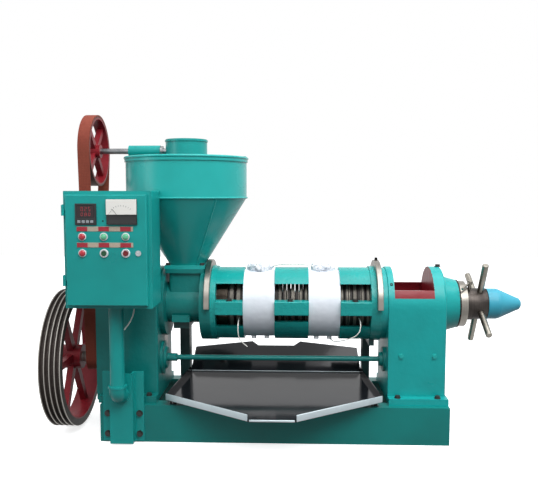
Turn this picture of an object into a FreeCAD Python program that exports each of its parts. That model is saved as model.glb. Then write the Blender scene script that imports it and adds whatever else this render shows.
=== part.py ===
"""Screw oil press on a channel frame, as a parametric document of separate pieces.

Millimetres. X runs along the press screw from the gearbox to the cake end, Y away from the
operator and Z up. The origin is the middle of the frame's underside.
"""
import FreeCAD, Part
import math
import os
import Sketcher

Vector = FreeCAD.Vector
Rotation = FreeCAD.Rotation

doc = FreeCAD.newDocument("screw_oil_press")
sheet = doc.addObject("Spreadsheet::Sheet", "Sizes")

SIZES = [
    # Base frame of welded channel
    ("frame_length", 1290),
    ("rail_ledge", 21),
    ("channel_height", 140),
    ("channel_flange", 58),
    ("channel_web", 8),
    ("channel_lip", 10),
    ("anchor_inset", 32),
    ("anchor_half_spacing", 100),
    ("anchor_radius", 9),
    ("inner_member_reach", 400),
    # Heights and places of the shafts
    ("axis_height", 494),
    ("input_offset", 45),
    ("layshaft_offset", 30),
    # Gearbox casting
    ("gearbox_gap", 94),
    ("gearbox_width", 218),
    ("casting_half_depth", 144),
    ("casting_wall", 12),
    ("bearing_wall", 18),
    ("cover_thickness", 16),
    ("cover_lip", 6),
    ("foot_ledge", 38),
    ("foot_bolt_gap", 22),
    ("foot_thickness", 26),
    # Gears and shafts
    ("fine_module", 3),
    ("coarse_module", 5),
    ("fine_face", 34),
    ("coarse_face", 56),
    ("stage_gap", 16),
    ("input_radius", 20),
    ("layshaft_radius", 20),
    ("screw_radius", 28),
    ("bearing_race", 14),
    ("fit_gap", 0.05),
    ("pass_gap", 1.5),
    ("seat_gap", 0.3),
    # Drive pulley and the belt to the feeder
    ("pulley_radius", 265),
    ("pulley_gap", 82),
    ("groove_pitch", 19),
    ("groove_depth", 12),
    ("groove_half_mouth", 8),
    ("groove_half_floor", 4),
    ("rim_thickness", 30),
    ("hub_radius", 46),
    ("spoke_root_half", 17),
    ("spoke_tip_half", 12),
    ("spoke_thickness", 24),
    ("belt_gap", 12),
    ("belt_width", 44),
    ("belt_thickness", 5),
    ("small_pulley_radius", 44),
    ("feeder_pulley_radius", 134),
    ("feeder_rim", 11),
    ("feeder_hub_radius", 26),
    ("feeder_spoke_half", 11),
    ("feeder_shaft_radius", 11),
    # Hopper and its stirrer
    ("hopper_radius", 233),
    ("hopper_outlet_rise", 152),
    ("hopper_cone_rise", 259),
    ("hopper_drum_rise", 153),
    ("hopper_ring_gap", 0.7),
    ("hopper_flange_gap", 3),
    ("hopper_outlet_radius", 70),
    ("hopper_wall", 3),
    ("hopper_band_height", 17),
    ("hopper_band_thickness", 4),
    ("hopper_flange_half", 78),
    ("hopper_flange_corner", 10),
    ("hopper_flange_thickness", 13),
    ("bridge_thickness", 5),
    ("bridge_half_width", 40),
    ("feeder_tube_radius", 22.5),
    ("tube_weld_depth", 0.5),
    ("feeder_tube_length", 123),
    ("bevel_box_radius", 80),
    ("bevel_box_rise", 66),
    ("bevel_box_lip", 3),
    ("bevel_box_wall", 5),
    ("bevel_pitch_radius", 17),
    ("stirrer_radius", 9),
    ("stirrer_end_gap", 38),
    ("stirrer_arm_radius", 6),
    # Feed chamber
    ("chamber_radius", 80),
    ("chamber_bore", 58),
    ("chamber_left_flange", 130),
    ("chamber_right_flange", 145),
    ("chamber_flange_thickness", 20),
    ("neck_half", 64),
    ("neck_corner", 12),
    ("throat_half", 48),
    ("chamber_pad_half", 34),
    ("chamber_pad_drop", 72),
    # Press cage
    ("cage_start", 241),
    ("cage_end", 383),
    ("clamp_thickness", 21),
    ("clamp_radius", 170),
    ("clamp_bore", 145.3),
    ("clamp_bevel", 2),
    ("cage_flange_radius", 145),
    ("cage_flange_thickness", 20),
    ("cage_bore", 104),
    ("cage_shell_radius", 140),
    ("band_seat_radius", 127),
    ("split_flange_reach", 150),
    ("split_flange_thickness", 26),
    ("upper_window_rise", 88),
    ("lower_window_drop", 76),
    ("middle_window_drop", 54),
    ("split_gap", 0.3),
    ("strap_round", 4),
    ("first_bolt_inset", 72),
    ("middle_bolt_inset", 60),
    ("last_bolt_inset", 80),
    ("band_width", 116),
    ("band_left_centre", -58),
    ("band_right_centre", 189),
    ("band_sheet", 2.5),
    ("press_bore", 58),
    ("press_ring_thickness", 13),
    ("press_ring_gap", 3),
    ("press_bar_length", 62),
    ("ring_spacer", 32),
    # Worms
    ("worm_radius", 56),
    ("worm_root", 36),
    ("feed_pitch", 72),
    ("press_pitch", 58),
    ("worm_length", 150),
    ("last_worm_length", 130),
    ("worm_collar_length", 29),
    ("worm_end_gap", 0.5),
    ("worm_lead_gap", 2),
    ("choke_reach", 40),
    ("choke_shoulder", 50),
    # Cake end support
    ("support_width", 215),
    ("support_flange_radius", 139),
    ("support_flange_thickness", 21),
    ("outlet_radius", 62),
    ("window_height", 561),
    ("window_margin_left", 24),
    ("window_margin_right", 45),
    ("boss_length", 60),
    ("plug_inset", 48),
    ("plug_pitch", 123),
    ("casting_round", 8),
    ("casting_edge", 3),
    ("boss_root_radius", 110),
    ("boss_end_radius", 93),
    ("ring_cover_thickness", 6),
    ("lock_ring_thickness", 27),
    ("lock_ring_radius", 88),
    ("nut_flange_radius", 63),
    ("nut_flange_thickness", 29),
    ("nut_body_radius", 60),
    ("nut_body_length", 57),
    ("sleeve_radius", 44),
    ("handle_radius", 12),
    ("handle_reach", 186),
    ("handle_round", 4),
    ("cap_length", 134),
    ("cap_radius", 59),
    ("cap_nose_radius", 27),
    ("lock_screw_radius", 6),
    ("lever_bar_radius", 4.5),
    ("lever_clearance", 7),
    ("lever_length", 62),
    # Legs
    ("leg_near", 85),
    ("leg_far", 145),
    ("leg_arm", 60),
    ("leg_width", 30),
    # Stay rod
    ("stay_radius", 10),
    ("stay_sleeve_radius", 15.5),
    ("stay_sleeve_length", 36),
    ("stay_flange_radius", 47),
    ("input_cap_radius", 64),
    ("input_cap_thickness", 20),
    # Oil tray
    ("tray_gap", 27),
    ("tray_fold_inset", 48),
    ("tray_back_inset", 55),
    ("tray_notch_outer", 102),
    ("tray_notch_inner", 76),
    ("tray_foot_inset", 24),
    ("tray_foot_width", 24),
    ("tray_foot_depth", 28),
    ("tray_front_corner", 205),
    ("tray_spout_reach", 385),
    ("tray_spout_half", 78),
    ("tray_spout_height", 147),
    ("tray_fold_reach", 90),
    ("tray_fold_height", 190),
    ("tray_rear_reach", 225),
    ("tray_rear_height", 288),
    ("tray_sheet", 3),
    ("tray_rim", 20),
    # Control box on its post
    ("box_left", 706),
    ("box_width", 300),
    ("box_height", 400),
    ("box_depth", 137),
    ("box_bottom", 530),
    ("box_overhang", 55),
    ("box_sheet", 3),
    ("door_inset", 13),
    ("case_rim", 24),
    ("case_corner", 3),
    ("hinge_low", 97),
    ("hinge_high", 335),
    ("knuckle_radius", 6),
    ("knuckle_length", 18),
    ("lamp_left", 70),
    ("lamp_pitch", 73.5),
    ("lamp_rise", 247),
    ("lamp_row_gap", 55.5),
    ("lock_left", 259),
    ("lock_radius", 7),
    ("button_radius", 9),
    ("controller_left", 48),
    ("controller_rise", 286),
    ("controller_size", 72),
    ("ammeter_left", 157),
    ("ammeter_rise", 288),
    ("ammeter_width", 98),
    ("ammeter_height", 84),
    ("door_depth", 22),
    ("door_gap", 1.5),
    ("post_inset", 151),
    ("elbow_run", 4),
    ("post_radius", 26),
    ("elbow_bend", 38),
    ("elbow_wall", 4),
    ("elbow_collar", 8),
    ("elbow_height", 238),
    ("bracket_width", 85),
    ("bracket_stand_off", 40),
    ("bracket_top", 262),
    ("bracket_ear", 34),
    ("bracket_sheet", 6),
    ("bolt_radius", 8),
]

for row, (name, number) in enumerate(SIZES, start=1):
    sheet.set(f"A{row}", "'" + name)
    sheet.set(f"B{row}", str(number))
    sheet.setAlias(f"B{row}", name)
doc.recompute()


class Size:
    """A length that knows both its number and its formula over the sheet's cells."""

    def __init__(self, number, formula):
        self.number = float(number)
        self.formula = formula

    def __float__(self):
        return self.number

    def join(self, other, mark, number, swap=False):
        left, right = formula_of(self), formula_of(other)
        if swap:
            left, right = right, left
        return Size(number, f"({left} {mark} {right})")

    def __add__(self, other):
        return self.join(other, "+", self.number + float(other))

    def __radd__(self, other):
        return self.join(other, "+", float(other) + self.number, True)

    def __sub__(self, other):
        return self.join(other, "-", self.number - float(other))

    def __rsub__(self, other):
        return self.join(other, "-", float(other) - self.number, True)

    def __mul__(self, other):
        return self.join(other, "*", self.number * float(other))

    def __rmul__(self, other):
        return self.join(other, "*", float(other) * self.number, True)

    def __truediv__(self, other):
        return self.join(other, "/", self.number / float(other))

    def __neg__(self):
        return Size(-self.number, f"(0 - {self.formula})")


def formula_of(length):
    return length.formula if isinstance(length, Size) else repr(float(length))


def root(length):
    return Size(math.sqrt(float(length)), f"sqrt({length.formula})")


def larger(first, second):
    return Size(max(float(first), float(second)), f"max({formula_of(first)}; {formula_of(second)})")


class Named:
    """Every cell of the sheet as an attribute."""


s = Named()
for name, number in SIZES:
    setattr(s, name, Size(number, f"Sizes.{name}"))

# The castings' feet stand within the frame's rails
foot_half_depth = s.casting_half_depth + s.foot_ledge
frame_depth = 2 * (foot_half_depth + s.rail_ledge)

parts = {}


def keep(piece, label):
    piece.Label = label
    parts[label] = piece
    return piece


def bind(thing, **lengths):
    for name, length in lengths.items():
        path = name.replace("_", ".")
        if isinstance(length, Size):
            thing.setExpression(path, length.formula)
        elif "." not in path:
            setattr(thing, path, length)


def place(thing, x=0, y=0, z=0, turn=None):
    """Puts a thing at x, y, z, with each place tied to its formula."""
    rotation = turn if turn is not None else Rotation()
    thing.Placement = FreeCAD.Placement(Vector(float(x), float(y), float(z)), rotation)
    for axis, length in zip("xyz", (x, y, z)):
        if isinstance(length, Size):
            thing.setExpression(f"Placement.Base.{axis}", length.formula)


# Part primitives: blocks and rods whose sizes are tied to the sheet
ALONG = {
    "x": Rotation(Vector(0, 1, 0), 90),
    "y": Rotation(Vector(1, 0, 0), -90),
    "z": Rotation(),
}


def block(x, y, z):
    """A box between two values on each axis."""
    piece = doc.addObject("Part::Box", "Block")
    bind(piece, Length=x[1] - x[0], Width=y[1] - y[0], Height=z[1] - z[0])
    place(piece, x[0], y[0], z[0])
    return piece


def rod(axis, radius, length, x=0, y=0, z=0):
    """A round bar that starts at x, y, z and runs along an axis."""
    piece = doc.addObject("Part::Cylinder", "Rod")
    bind(piece, Radius=radius, Height=length)
    place(piece, x, y, z, ALONG[axis])
    return piece


def fused(*pieces):
    if len(pieces) == 1:
        return pieces[0]
    joined = doc.addObject("Part::MultiFuse", "Joined")
    joined.Shapes = list(pieces)
    return joined


def cut(base, *tools):
    carved = doc.addObject("Part::Cut", "Carved")
    carved.Base = base
    carved.Tool = fused(*tools)
    return carved


def rounded(base, radius, pick):
    """The base with its picked edges rounded off."""
    doc.recompute()
    soft = doc.addObject("Part::Fillet", "Rounded")
    soft.Base = base
    soft.Edges = [(index, float(radius), float(radius))
                  for index, edge in enumerate(base.Shape.Edges, start=1) if pick(edge)]
    return soft


def edges_along(axis):
    """Picks the straight edges that run along an axis."""
    way = {"x": Vector(1, 0, 0), "y": Vector(0, 1, 0), "z": Vector(0, 0, 1)}[axis]

    def pick(edge):
        return isinstance(edge.Curve, Part.Line) and abs(edge.Curve.Direction.dot(way)) > 0.999
    return pick


def group(label, pieces):
    """Like pieces that stay separate solids in one node."""
    bundle = doc.addObject("Part::Compound", label)
    bundle.Links = list(pieces)
    return keep(bundle, label)


# Sketches and bodies
def body(x=0, y=0, z=0, turn=None):
    piece = doc.addObject("PartDesign::Body", "Body")
    place(piece, x, y, z, turn)
    return piece


def drawing(piece, plane, start=0):
    sketch = piece.newObject("Sketcher::SketchObject", "Drawing")
    origin = [feature for feature in piece.Origin.OriginFeatures if feature.Role == plane][0]
    sketch.AttachmentSupport = [(origin, "")]
    sketch.MapMode = "FlatFace"
    sketch.AttachmentOffset = FreeCAD.Placement(Vector(0, 0, float(start)), Rotation())
    if isinstance(start, Size):
        sketch.setExpression("AttachmentOffset.Base.z", start.formula)
    return sketch


def hold(sketch, kind, geometry, point, length):
    index = sketch.addConstraint(Sketcher.Constraint(kind, -1, 1, geometry, point, float(length)))
    if isinstance(length, Size):
        sketch.setExpression(f"Constraints[{index}]", length.formula)


def outline(sketch, *corners):
    """A closed run of straight lines through the corners."""
    count = len(corners)
    first = sketch.GeometryCount
    points = [Vector(float(a), float(b), 0) for a, b in corners]
    lines = [Part.LineSegment(points[i], points[(i + 1) % count]) for i in range(count)]
    sketch.addGeometry(lines, False)
    sketch.addConstraint([
        Sketcher.Constraint("Coincident", first + i, 2, first + (i + 1) % count, 1)
        for i in range(count)
    ])
    for i, (across, up) in enumerate(corners):
        hold(sketch, "DistanceX", first + i, 1, across)
        hold(sketch, "DistanceY", first + i, 1, up)
    return sketch


def circle(sketch, across, up, radius):
    ring = Part.Circle(Vector(float(across), float(up), 0), Vector(0, 0, 1), float(radius))
    index = sketch.addGeometry(ring, False)
    hold(sketch, "DistanceX", index, 3, across)
    hold(sketch, "DistanceY", index, 3, up)
    number = sketch.addConstraint(Sketcher.Constraint("Radius", index, float(radius)))
    if isinstance(radius, Size):
        sketch.setExpression(f"Constraints[{number}]", radius.formula)
    return sketch


def arch(sketch, half, bottom, centre):
    """Upright sides on a flat bottom, closed by a half circle about the centre height."""
    low, high, wide = float(bottom), float(centre), float(half)
    corners = [Vector(wide, high, 0), Vector(-wide, high, 0), Vector(-wide, low, 0), Vector(wide, low, 0)]
    first = sketch.GeometryCount
    round_top = Part.ArcOfCircle(Part.Circle(Vector(0, high, 0), Vector(0, 0, 1), wide), 0, math.pi)
    sketch.addGeometry([
        round_top,
        Part.LineSegment(corners[1], corners[2]),
        Part.LineSegment(corners[2], corners[3]),
        Part.LineSegment(corners[3], corners[0]),
    ], False)
    sketch.addConstraint([
        Sketcher.Constraint("Coincident", first, 2, first + 1, 1),
        Sketcher.Constraint("Coincident", first + 1, 2, first + 2, 1),
        Sketcher.Constraint("Coincident", first + 2, 2, first + 3, 1),
        Sketcher.Constraint("Coincident", first + 3, 2, first, 1),
    ])
    for line, across, up in ((1, -half, centre), (2, -half, bottom), (3, half, bottom)):
        hold(sketch, "DistanceX", first + line, 1, across)
        hold(sketch, "DistanceY", first + line, 1, up)
    hold(sketch, "DistanceX", first, 3, 0)
    hold(sketch, "DistanceY", first, 3, centre)
    return sketch


def feature(piece, kind, sketch, **settings):
    step = piece.newObject("PartDesign::" + kind, kind)
    step.Profile = sketch
    bind(step, **settings)
    return step


def pad(piece, sketch, length):
    return feature(piece, "Pad", sketch, Length=length)


def pocket(piece, sketch, length):
    """Cuts along the sketch's own normal."""
    step = feature(piece, "Pocket", sketch, Length=length)
    step.Reversed = True
    return step


def turned(corners, x=0, y=0, z=0, turn=None):
    """A lathe-turned piece: an outline of stations and radii spun about the X axis."""
    piece = body(x, y, z, turn)
    sketch = outline(drawing(piece, "XZ_Plane"), *corners)
    spin = piece.newObject("PartDesign::Revolution", "Spin")
    spin.Profile = sketch
    spin.ReferenceAxis = (sketch, ["H_Axis"])
    spin.Angle = 360
    return piece


def ring(start, length, inner, outer, y=0, z=0):
    """A plain ring or tube about an axis along X."""
    end = start + length
    return turned([(start, inner), (end, inner), (end, outer), (start, outer)], 0, y, z)


# Base frame
def frame_rail(label, y, turn):
    rail = body(0, y, 0, turn)
    web, lip, wide, high = s.channel_web, s.channel_lip, s.channel_flange, s.channel_height
    channel = outline(
        drawing(rail, "YZ_Plane", -s.frame_length / 2),
        (0, 0), (wide, 0), (wide, lip), (web, lip),
        (web, high - lip), (wide, high - lip), (wide, high), (0, high),
    )
    pad(rail, channel, s.frame_length)
    keep(rail, label)


frame_rail("frame_front_rail", -frame_depth / 2, None)
frame_rail("frame_rear_rail", frame_depth / 2, Rotation(Vector(0, 0, 1), 180))

member_half = frame_depth / 2 - s.channel_flange


def cross_member(x, turn, drilled):
    """A short channel between the rails, with its back to the nearer end of the frame."""
    member = body(x, 0, 0, turn)
    web, lip, wide, high = s.channel_web, s.channel_lip, s.channel_flange, s.channel_height
    channel = outline(
        drawing(member, "XZ_Plane", -member_half),
        (0, 0), (wide, 0), (wide, lip), (web, lip),
        (web, high - lip), (wide, high - lip), (wide, high), (0, high),
    )
    pad(member, channel, 2 * member_half)
    if drilled:
        holes = drawing(member, "XY_Plane")
        for across in (-s.anchor_half_spacing, s.anchor_half_spacing):
            circle(holes, s.anchor_inset, across, s.anchor_radius)
        pocket(member, holes, lip)
    return member


half_turn = Rotation(Vector(0, 0, 1), 180)
group("frame_cross_members", [
    cross_member(-s.frame_length / 2, None, True),
    cross_member(-s.inner_member_reach, None, False),
    cross_member(s.inner_member_reach, half_turn, False),
    cross_member(s.frame_length / 2, half_turn, True),
])

# Shaft places: the gears set the distances between the shafts
FINE_PINION_TEETH = 16
FINE_WHEEL_TEETH = 50
COARSE_PINION_TEETH = 15
COARSE_WHEEL_TEETH = 45
fine_centres = (FINE_PINION_TEETH + FINE_WHEEL_TEETH) / 2 * s.fine_module
coarse_centres = (COARSE_PINION_TEETH + COARSE_WHEEL_TEETH) / 2 * s.coarse_module
layshaft_y = s.layshaft_offset
layshaft_z = s.axis_height - root(coarse_centres * coarse_centres - layshaft_y * layshaft_y)
input_y = -s.input_offset
input_span = layshaft_y - input_y
input_z = layshaft_z - root(fine_centres * fine_centres - input_span * input_span)

# Places along the machine: the hopper's cone just clears the clamp ring at the cage's start, the
# gearbox stands on its other side, and the feeder shaft lies on the bridge over the mouth
chamber_end = -s.cage_start
outlet = s.axis_height + s.hopper_outlet_rise
shoulder = outlet + s.hopper_cone_rise
mouth = shoulder + s.hopper_drum_rise
cone_slope = (s.hopper_radius - s.hopper_outlet_radius) / s.hopper_cone_rise
cone_at_ring = s.hopper_outlet_radius + (s.clamp_radius - s.hopper_outlet_rise) * cone_slope
hopper_room = larger(cone_at_ring + s.hopper_ring_gap, s.hopper_flange_half + s.hopper_flange_gap)
apex_x = chamber_end - s.clamp_thickness - hopper_room
gearbox_right = apex_x - s.gearbox_gap
gearbox_left = gearbox_right - s.gearbox_width
feeder_z = mouth + s.bridge_thickness + s.feeder_tube_radius - s.tube_weld_depth
case_bottom = s.channel_height
right_wall = gearbox_right - s.bearing_wall
shaft_places = (
    (input_y, input_z, s.input_radius),
    (layshaft_y, layshaft_z, s.layshaft_radius),
    (0, s.axis_height, s.screw_radius),
)


def race_radius(shaft):
    return shaft + s.bearing_race


def case_outline(x):
    """Picks the arched outline of a casting's end wall."""
    half = float(s.casting_half_depth)

    def pick(edge):
        box = edge.BoundBox
        if abs(box.XMin - float(x)) > 0.01 or abs(box.XMax - float(x)) > 0.01:
            return False
        if isinstance(edge.Curve, Part.Circle):
            return abs(edge.Curve.Radius - half) < 0.01
        return abs(box.YMin - box.YMax) < 0.01 and abs(abs(box.YMin) - half) < 0.01
    return pick


# Gearbox casting: an arched case open towards the drive side
case = body()
pad(case, arch(drawing(case, "YZ_Plane", gearbox_left), s.casting_half_depth, case_bottom, s.axis_height),
    s.gearbox_width)
foot = outline(
    drawing(case, "XY_Plane", case_bottom),
    (gearbox_left, -foot_half_depth), (gearbox_right, -foot_half_depth),
    (gearbox_right, foot_half_depth), (gearbox_left, foot_half_depth),
)
pad(case, foot, s.foot_thickness)
inner_half = s.casting_half_depth - s.casting_wall
inner_bottom = case_bottom + s.casting_wall
pocket(case, arch(drawing(case, "YZ_Plane", gearbox_left), inner_half, inner_bottom, s.axis_height),
       s.gearbox_width - s.bearing_wall)
bores = drawing(case, "YZ_Plane", right_wall)
for y, z, radius in shaft_places:
    circle(bores, y, z, race_radius(radius))
pocket(case, bores, s.bearing_wall)
keep(rounded(case, s.casting_round, case_outline(gearbox_right)), "gearbox_housing")

# Cover on the drive side with its spigot, and the stepped cap over the input shaft's far end
cover = body()
cover_left = gearbox_left - s.cover_thickness
pad(cover, arch(drawing(cover, "YZ_Plane", cover_left), s.casting_half_depth, case_bottom, s.axis_height),
    s.cover_thickness)
spigot_half = inner_half - s.seat_gap
pad(cover, arch(drawing(cover, "YZ_Plane", gearbox_left), spigot_half, inner_bottom + s.seat_gap,
                s.axis_height), s.cover_lip)
cover_bores = drawing(cover, "YZ_Plane", cover_left)
for y, z, radius in shaft_places:
    circle(cover_bores, y, z, race_radius(radius))
pocket(cover, cover_bores, s.cover_thickness + s.cover_lip)
cap_end = gearbox_right + s.input_cap_thickness
input_cap = turned([
    (gearbox_right, s.input_radius + s.pass_gap),
    (gearbox_right + s.input_cap_thickness / 2, s.input_radius + s.pass_gap),
    (gearbox_right + s.input_cap_thickness / 2, 0),
    (cap_end, 0),
    (cap_end, s.input_cap_radius * 0.62),
    (gearbox_right + s.input_cap_thickness * 0.6, s.input_cap_radius * 0.72),
    (gearbox_right + s.input_cap_thickness * 0.45, s.input_cap_radius),
    (gearbox_right, s.input_cap_radius),
], 0, input_y, input_z)
group("gearbox_covers", [cover, input_cap])

# Bearing rings in the cover and in the far wall
rings = []
for y, z, radius in shaft_places:
    inner, outer = radius + s.fit_gap, race_radius(radius) - s.fit_gap
    rings.append(ring(cover_left, s.cover_thickness + s.cover_lip, inner, outer, y, z))
    rings.append(ring(right_wall, s.bearing_wall, inner, outer, y, z))
group("gearbox_bearings", rings)


# Gears: each flank runs root, pitch circle, tip, which is close to an involute at this size
def gear_outline(teeth, module, share, phase, scale=1.0):
    """Corners of a spur gear about the origin; share is the tooth's part of the pitch."""
    module = float(module)
    pitch_radius = teeth * module / 2 * scale
    root_radius = pitch_radius - 1.25 * module * scale
    tip_radius = pitch_radius + 1.0 * module * scale
    pitch_angle = 2 * math.pi / teeth
    half_tooth = share * pitch_angle / 2
    corners = []
    for tooth in range(teeth):
        middle = phase + tooth * pitch_angle
        flank = (
            (root_radius, half_tooth * 1.35),
            (pitch_radius, half_tooth),
            (tip_radius, half_tooth * 0.45),
        )
        for radius, angle in flank:
            corners.append((radius, middle - angle))
        for radius, angle in reversed(flank):
            corners.append((radius, middle + angle))
    return [Vector(0, radius * math.cos(a), radius * math.sin(a)) for radius, a in corners]


def gear_face(corners):
    return Part.Face(Part.makePolygon(corners + corners[:1]))


def gear_solid(teeth, module, width, bore, phase):
    """A spur gear about the X axis, starting at X 0."""
    blank = gear_face(gear_outline(teeth, module, 0.46, phase)).extrude(Vector(float(width), 0, 0))
    if bore is None:
        return blank
    hole = Part.makeCylinder(float(bore), float(width), Vector(), Vector(1, 0, 0))
    return blank.cut(hole)


def shaped(label, shape, x=0, y=0, z=0):
    """A piece whose solid is worked out in code, then set in its place."""
    piece = doc.addObject("Part::Feature", label)
    piece.Shape = shape
    place(piece, x, y, z)
    return keep(piece, label)


def mesh_angle(y, z, other_y, other_z):
    return math.atan2(float(other_z) - float(z), float(other_y) - float(y))


fine_start = gearbox_left + s.cover_lip + s.stage_gap
coarse_start = fine_start + s.fine_face + s.stage_gap
# A tooth of each pinion points at the wheel, and a gap of the wheel points back at it
fine_pinion_phase = mesh_angle(input_y, input_z, layshaft_y, layshaft_z)
fine_wheel_phase = mesh_angle(layshaft_y, layshaft_z, input_y, input_z) + math.pi / FINE_WHEEL_TEETH
coarse_pinion_phase = mesh_angle(layshaft_y, layshaft_z, 0, s.axis_height)
coarse_wheel_phase = mesh_angle(0, s.axis_height, layshaft_y, layshaft_z) + math.pi / COARSE_WHEEL_TEETH


def shaft_with_pinion(label, radius, start, end, pinion, pinion_start, y, z):
    """A shaft with its pinion cut on it."""
    shaft = Part.makeCylinder(
        float(radius), float(end - start), Vector(float(start), 0, 0), Vector(1, 0, 0))
    pinion.translate(Vector(float(pinion_start), 0, 0))
    return shaped(label, shaft.fuse(pinion).removeSplitter(), 0, y, z)


pulley_near = cover_left - s.pulley_gap
GROOVES = 4
pulley_far = pulley_near - GROOVES * s.groove_pitch - s.groove_half_floor
shaft_with_pinion(
    "input_shaft", s.input_radius, pulley_far - 6, gearbox_right + s.input_cap_thickness * 0.3,
    gear_solid(FINE_PINION_TEETH, s.fine_module, s.fine_face, None, fine_pinion_phase),
    fine_start, input_y, input_z,
)
shaft_with_pinion(
    "layshaft", s.layshaft_radius, cover_left, gearbox_right,
    gear_solid(COARSE_PINION_TEETH, s.coarse_module, s.coarse_face, None, coarse_pinion_phase),
    coarse_start, layshaft_y, layshaft_z,
)
shaped("layshaft_gear", gear_solid(
    FINE_WHEEL_TEETH, s.fine_module, s.fine_face, s.layshaft_radius + s.fit_gap, fine_wheel_phase,
), fine_start, layshaft_y, layshaft_z)
shaped("screw_gear", gear_solid(
    COARSE_WHEEL_TEETH, s.coarse_module, s.coarse_face, s.screw_radius + s.fit_gap, coarse_wheel_phase,
), coarse_start, 0, s.axis_height)

# Drive pulley: three tapered bars make six spokes, then the hub and the grooved rim are turned
drive = body(0, input_y, input_z)
rim_inner = s.pulley_radius - s.rim_thickness
pulley_middle = (pulley_far + pulley_near) / 2
spoke_start = pulley_middle - s.spoke_thickness / 2
bar = outline(
    drawing(drive, "YZ_Plane", spoke_start),
    (0, -s.spoke_root_half), (rim_inner + 2, -s.spoke_tip_half), (rim_inner + 2, s.spoke_tip_half),
    (0, s.spoke_root_half), (-rim_inner - 2, s.spoke_tip_half), (-rim_inner - 2, -s.spoke_tip_half),
)
spoke = pad(drive, bar, s.spoke_thickness)
doc.recompute()
spokes = drive.newObject("PartDesign::PolarPattern", "Spokes")
spokes.Originals = [spoke]
spokes.Axis = (bar, ["N_Axis"])
spokes.Angle = 360
spokes.Occurrences = 6
drive.Tip = spokes


def spin(piece, sketch):
    step = piece.newObject("PartDesign::Revolution", "Spin")
    step.Profile = sketch
    step.ReferenceAxis = (sketch, ["H_Axis"])
    step.Angle = 360
    return step


rim = [(pulley_far, rim_inner), (pulley_near, rim_inner), (pulley_near, s.pulley_radius)]
for groove in range(GROOVES):
    middle = pulley_near - s.groove_half_floor / 2 - (groove + 0.5) * s.groove_pitch
    floor = s.pulley_radius - s.groove_depth
    rim += [
        (middle + s.groove_half_mouth, s.pulley_radius), (middle + s.groove_half_floor, floor),
        (middle - s.groove_half_floor, floor), (middle - s.groove_half_mouth, s.pulley_radius),
    ]
rim.append((pulley_far, s.pulley_radius))
spin(drive, outline(drawing(drive, "XZ_Plane"), *rim))
spin(drive, outline(
    drawing(drive, "XZ_Plane"),
    (pulley_far, s.input_radius), (pulley_near, s.input_radius),
    (pulley_near, s.hub_radius), (pulley_far, s.hub_radius),
))
shaft_bore = circle(drawing(drive, "YZ_Plane", pulley_far), 0, 0, s.input_radius + s.fit_gap)
pocket(drive, shaft_bore, pulley_near - pulley_far)
keep(drive, "drive_pulley")

# Small flat-belt pulley beside it, and the spoked one on the feeder shaft
belt_near = cover_left - s.belt_gap
belt_far = belt_near - s.belt_width
small_far = belt_far - 3
small_pulley = turned([
    (small_far, s.input_radius + s.fit_gap), (belt_near + 3, s.input_radius + s.fit_gap),
    (belt_near + 3, s.small_pulley_radius), (small_far, s.small_pulley_radius),
], 0, input_y, input_z)
keep(small_pulley, "small_belt_pulley")

wheel = body(0, 0, feeder_z)
wheel_inner = s.feeder_pulley_radius - s.feeder_rim
wheel_bar = outline(
    drawing(wheel, "YZ_Plane", belt_far + s.belt_width / 4),
    (-wheel_inner - 2, -s.feeder_spoke_half), (wheel_inner + 2, -s.feeder_spoke_half),
    (wheel_inner + 2, s.feeder_spoke_half), (-wheel_inner - 2, s.feeder_spoke_half),
)
wheel_bar.AttachmentOffset = FreeCAD.Placement(
    wheel_bar.AttachmentOffset.Base, Rotation(Vector(0, 0, 1), 45))
wheel_spoke = pad(wheel, wheel_bar, s.belt_width / 2)
doc.recompute()
wheel_spokes = wheel.newObject("PartDesign::PolarPattern", "Spokes")
wheel_spokes.Originals = [wheel_spoke]
wheel_spokes.Axis = (wheel_bar, ["N_Axis"])
wheel_spokes.Angle = 360
wheel_spokes.Occurrences = 4
wheel.Tip = wheel_spokes
spin(wheel, outline(
    drawing(wheel, "XZ_Plane"),
    (belt_far, wheel_inner), (belt_near, wheel_inner),
    (belt_near, s.feeder_pulley_radius), (belt_far, s.feeder_pulley_radius),
))
spin(wheel, outline(
    drawing(wheel, "XZ_Plane"),
    (belt_far, s.feeder_shaft_radius), (belt_near + 4, s.feeder_shaft_radius),
    (belt_near + 4, s.feeder_hub_radius), (belt_far, s.feeder_hub_radius),
))
wheel_bore = circle(drawing(wheel, "YZ_Plane", belt_far), 0, 0, s.feeder_shaft_radius + s.fit_gap)
pocket(wheel, wheel_bore, s.belt_width + 4)
keep(wheel, "feeder_pulley")


# Flat belt: two arcs round the pulleys joined by their outer tangents
def belt_loop(low, low_radius, high, high_radius):
    """Wire in the YZ plane around two circles, given as (y, z) centres."""
    dy, dz = high[0] - low[0], high[1] - low[1]
    distance = math.hypot(dy, dz)
    along = math.atan2(dz, dy)
    lean = math.asin((high_radius - low_radius) / distance)
    angles = (along + math.pi / 2 + lean, along - math.pi / 2 - lean)

    def at(centre, radius, angle):
        return Vector(0, centre[0] + radius * math.cos(angle), centre[1] + radius * math.sin(angle))

    low_left, low_right = (at(low, low_radius, a) for a in angles)
    high_left, high_right = (at(high, high_radius, a) for a in angles)
    return Part.Wire([
        Part.LineSegment(low_left, high_left).toShape(),
        Part.Arc(high_left, at(high, high_radius, along), high_right).toShape(),
        Part.LineSegment(high_right, low_right).toShape(),
        Part.Arc(low_right, at(low, low_radius, along + math.pi), low_left).toShape(),
    ])


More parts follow.
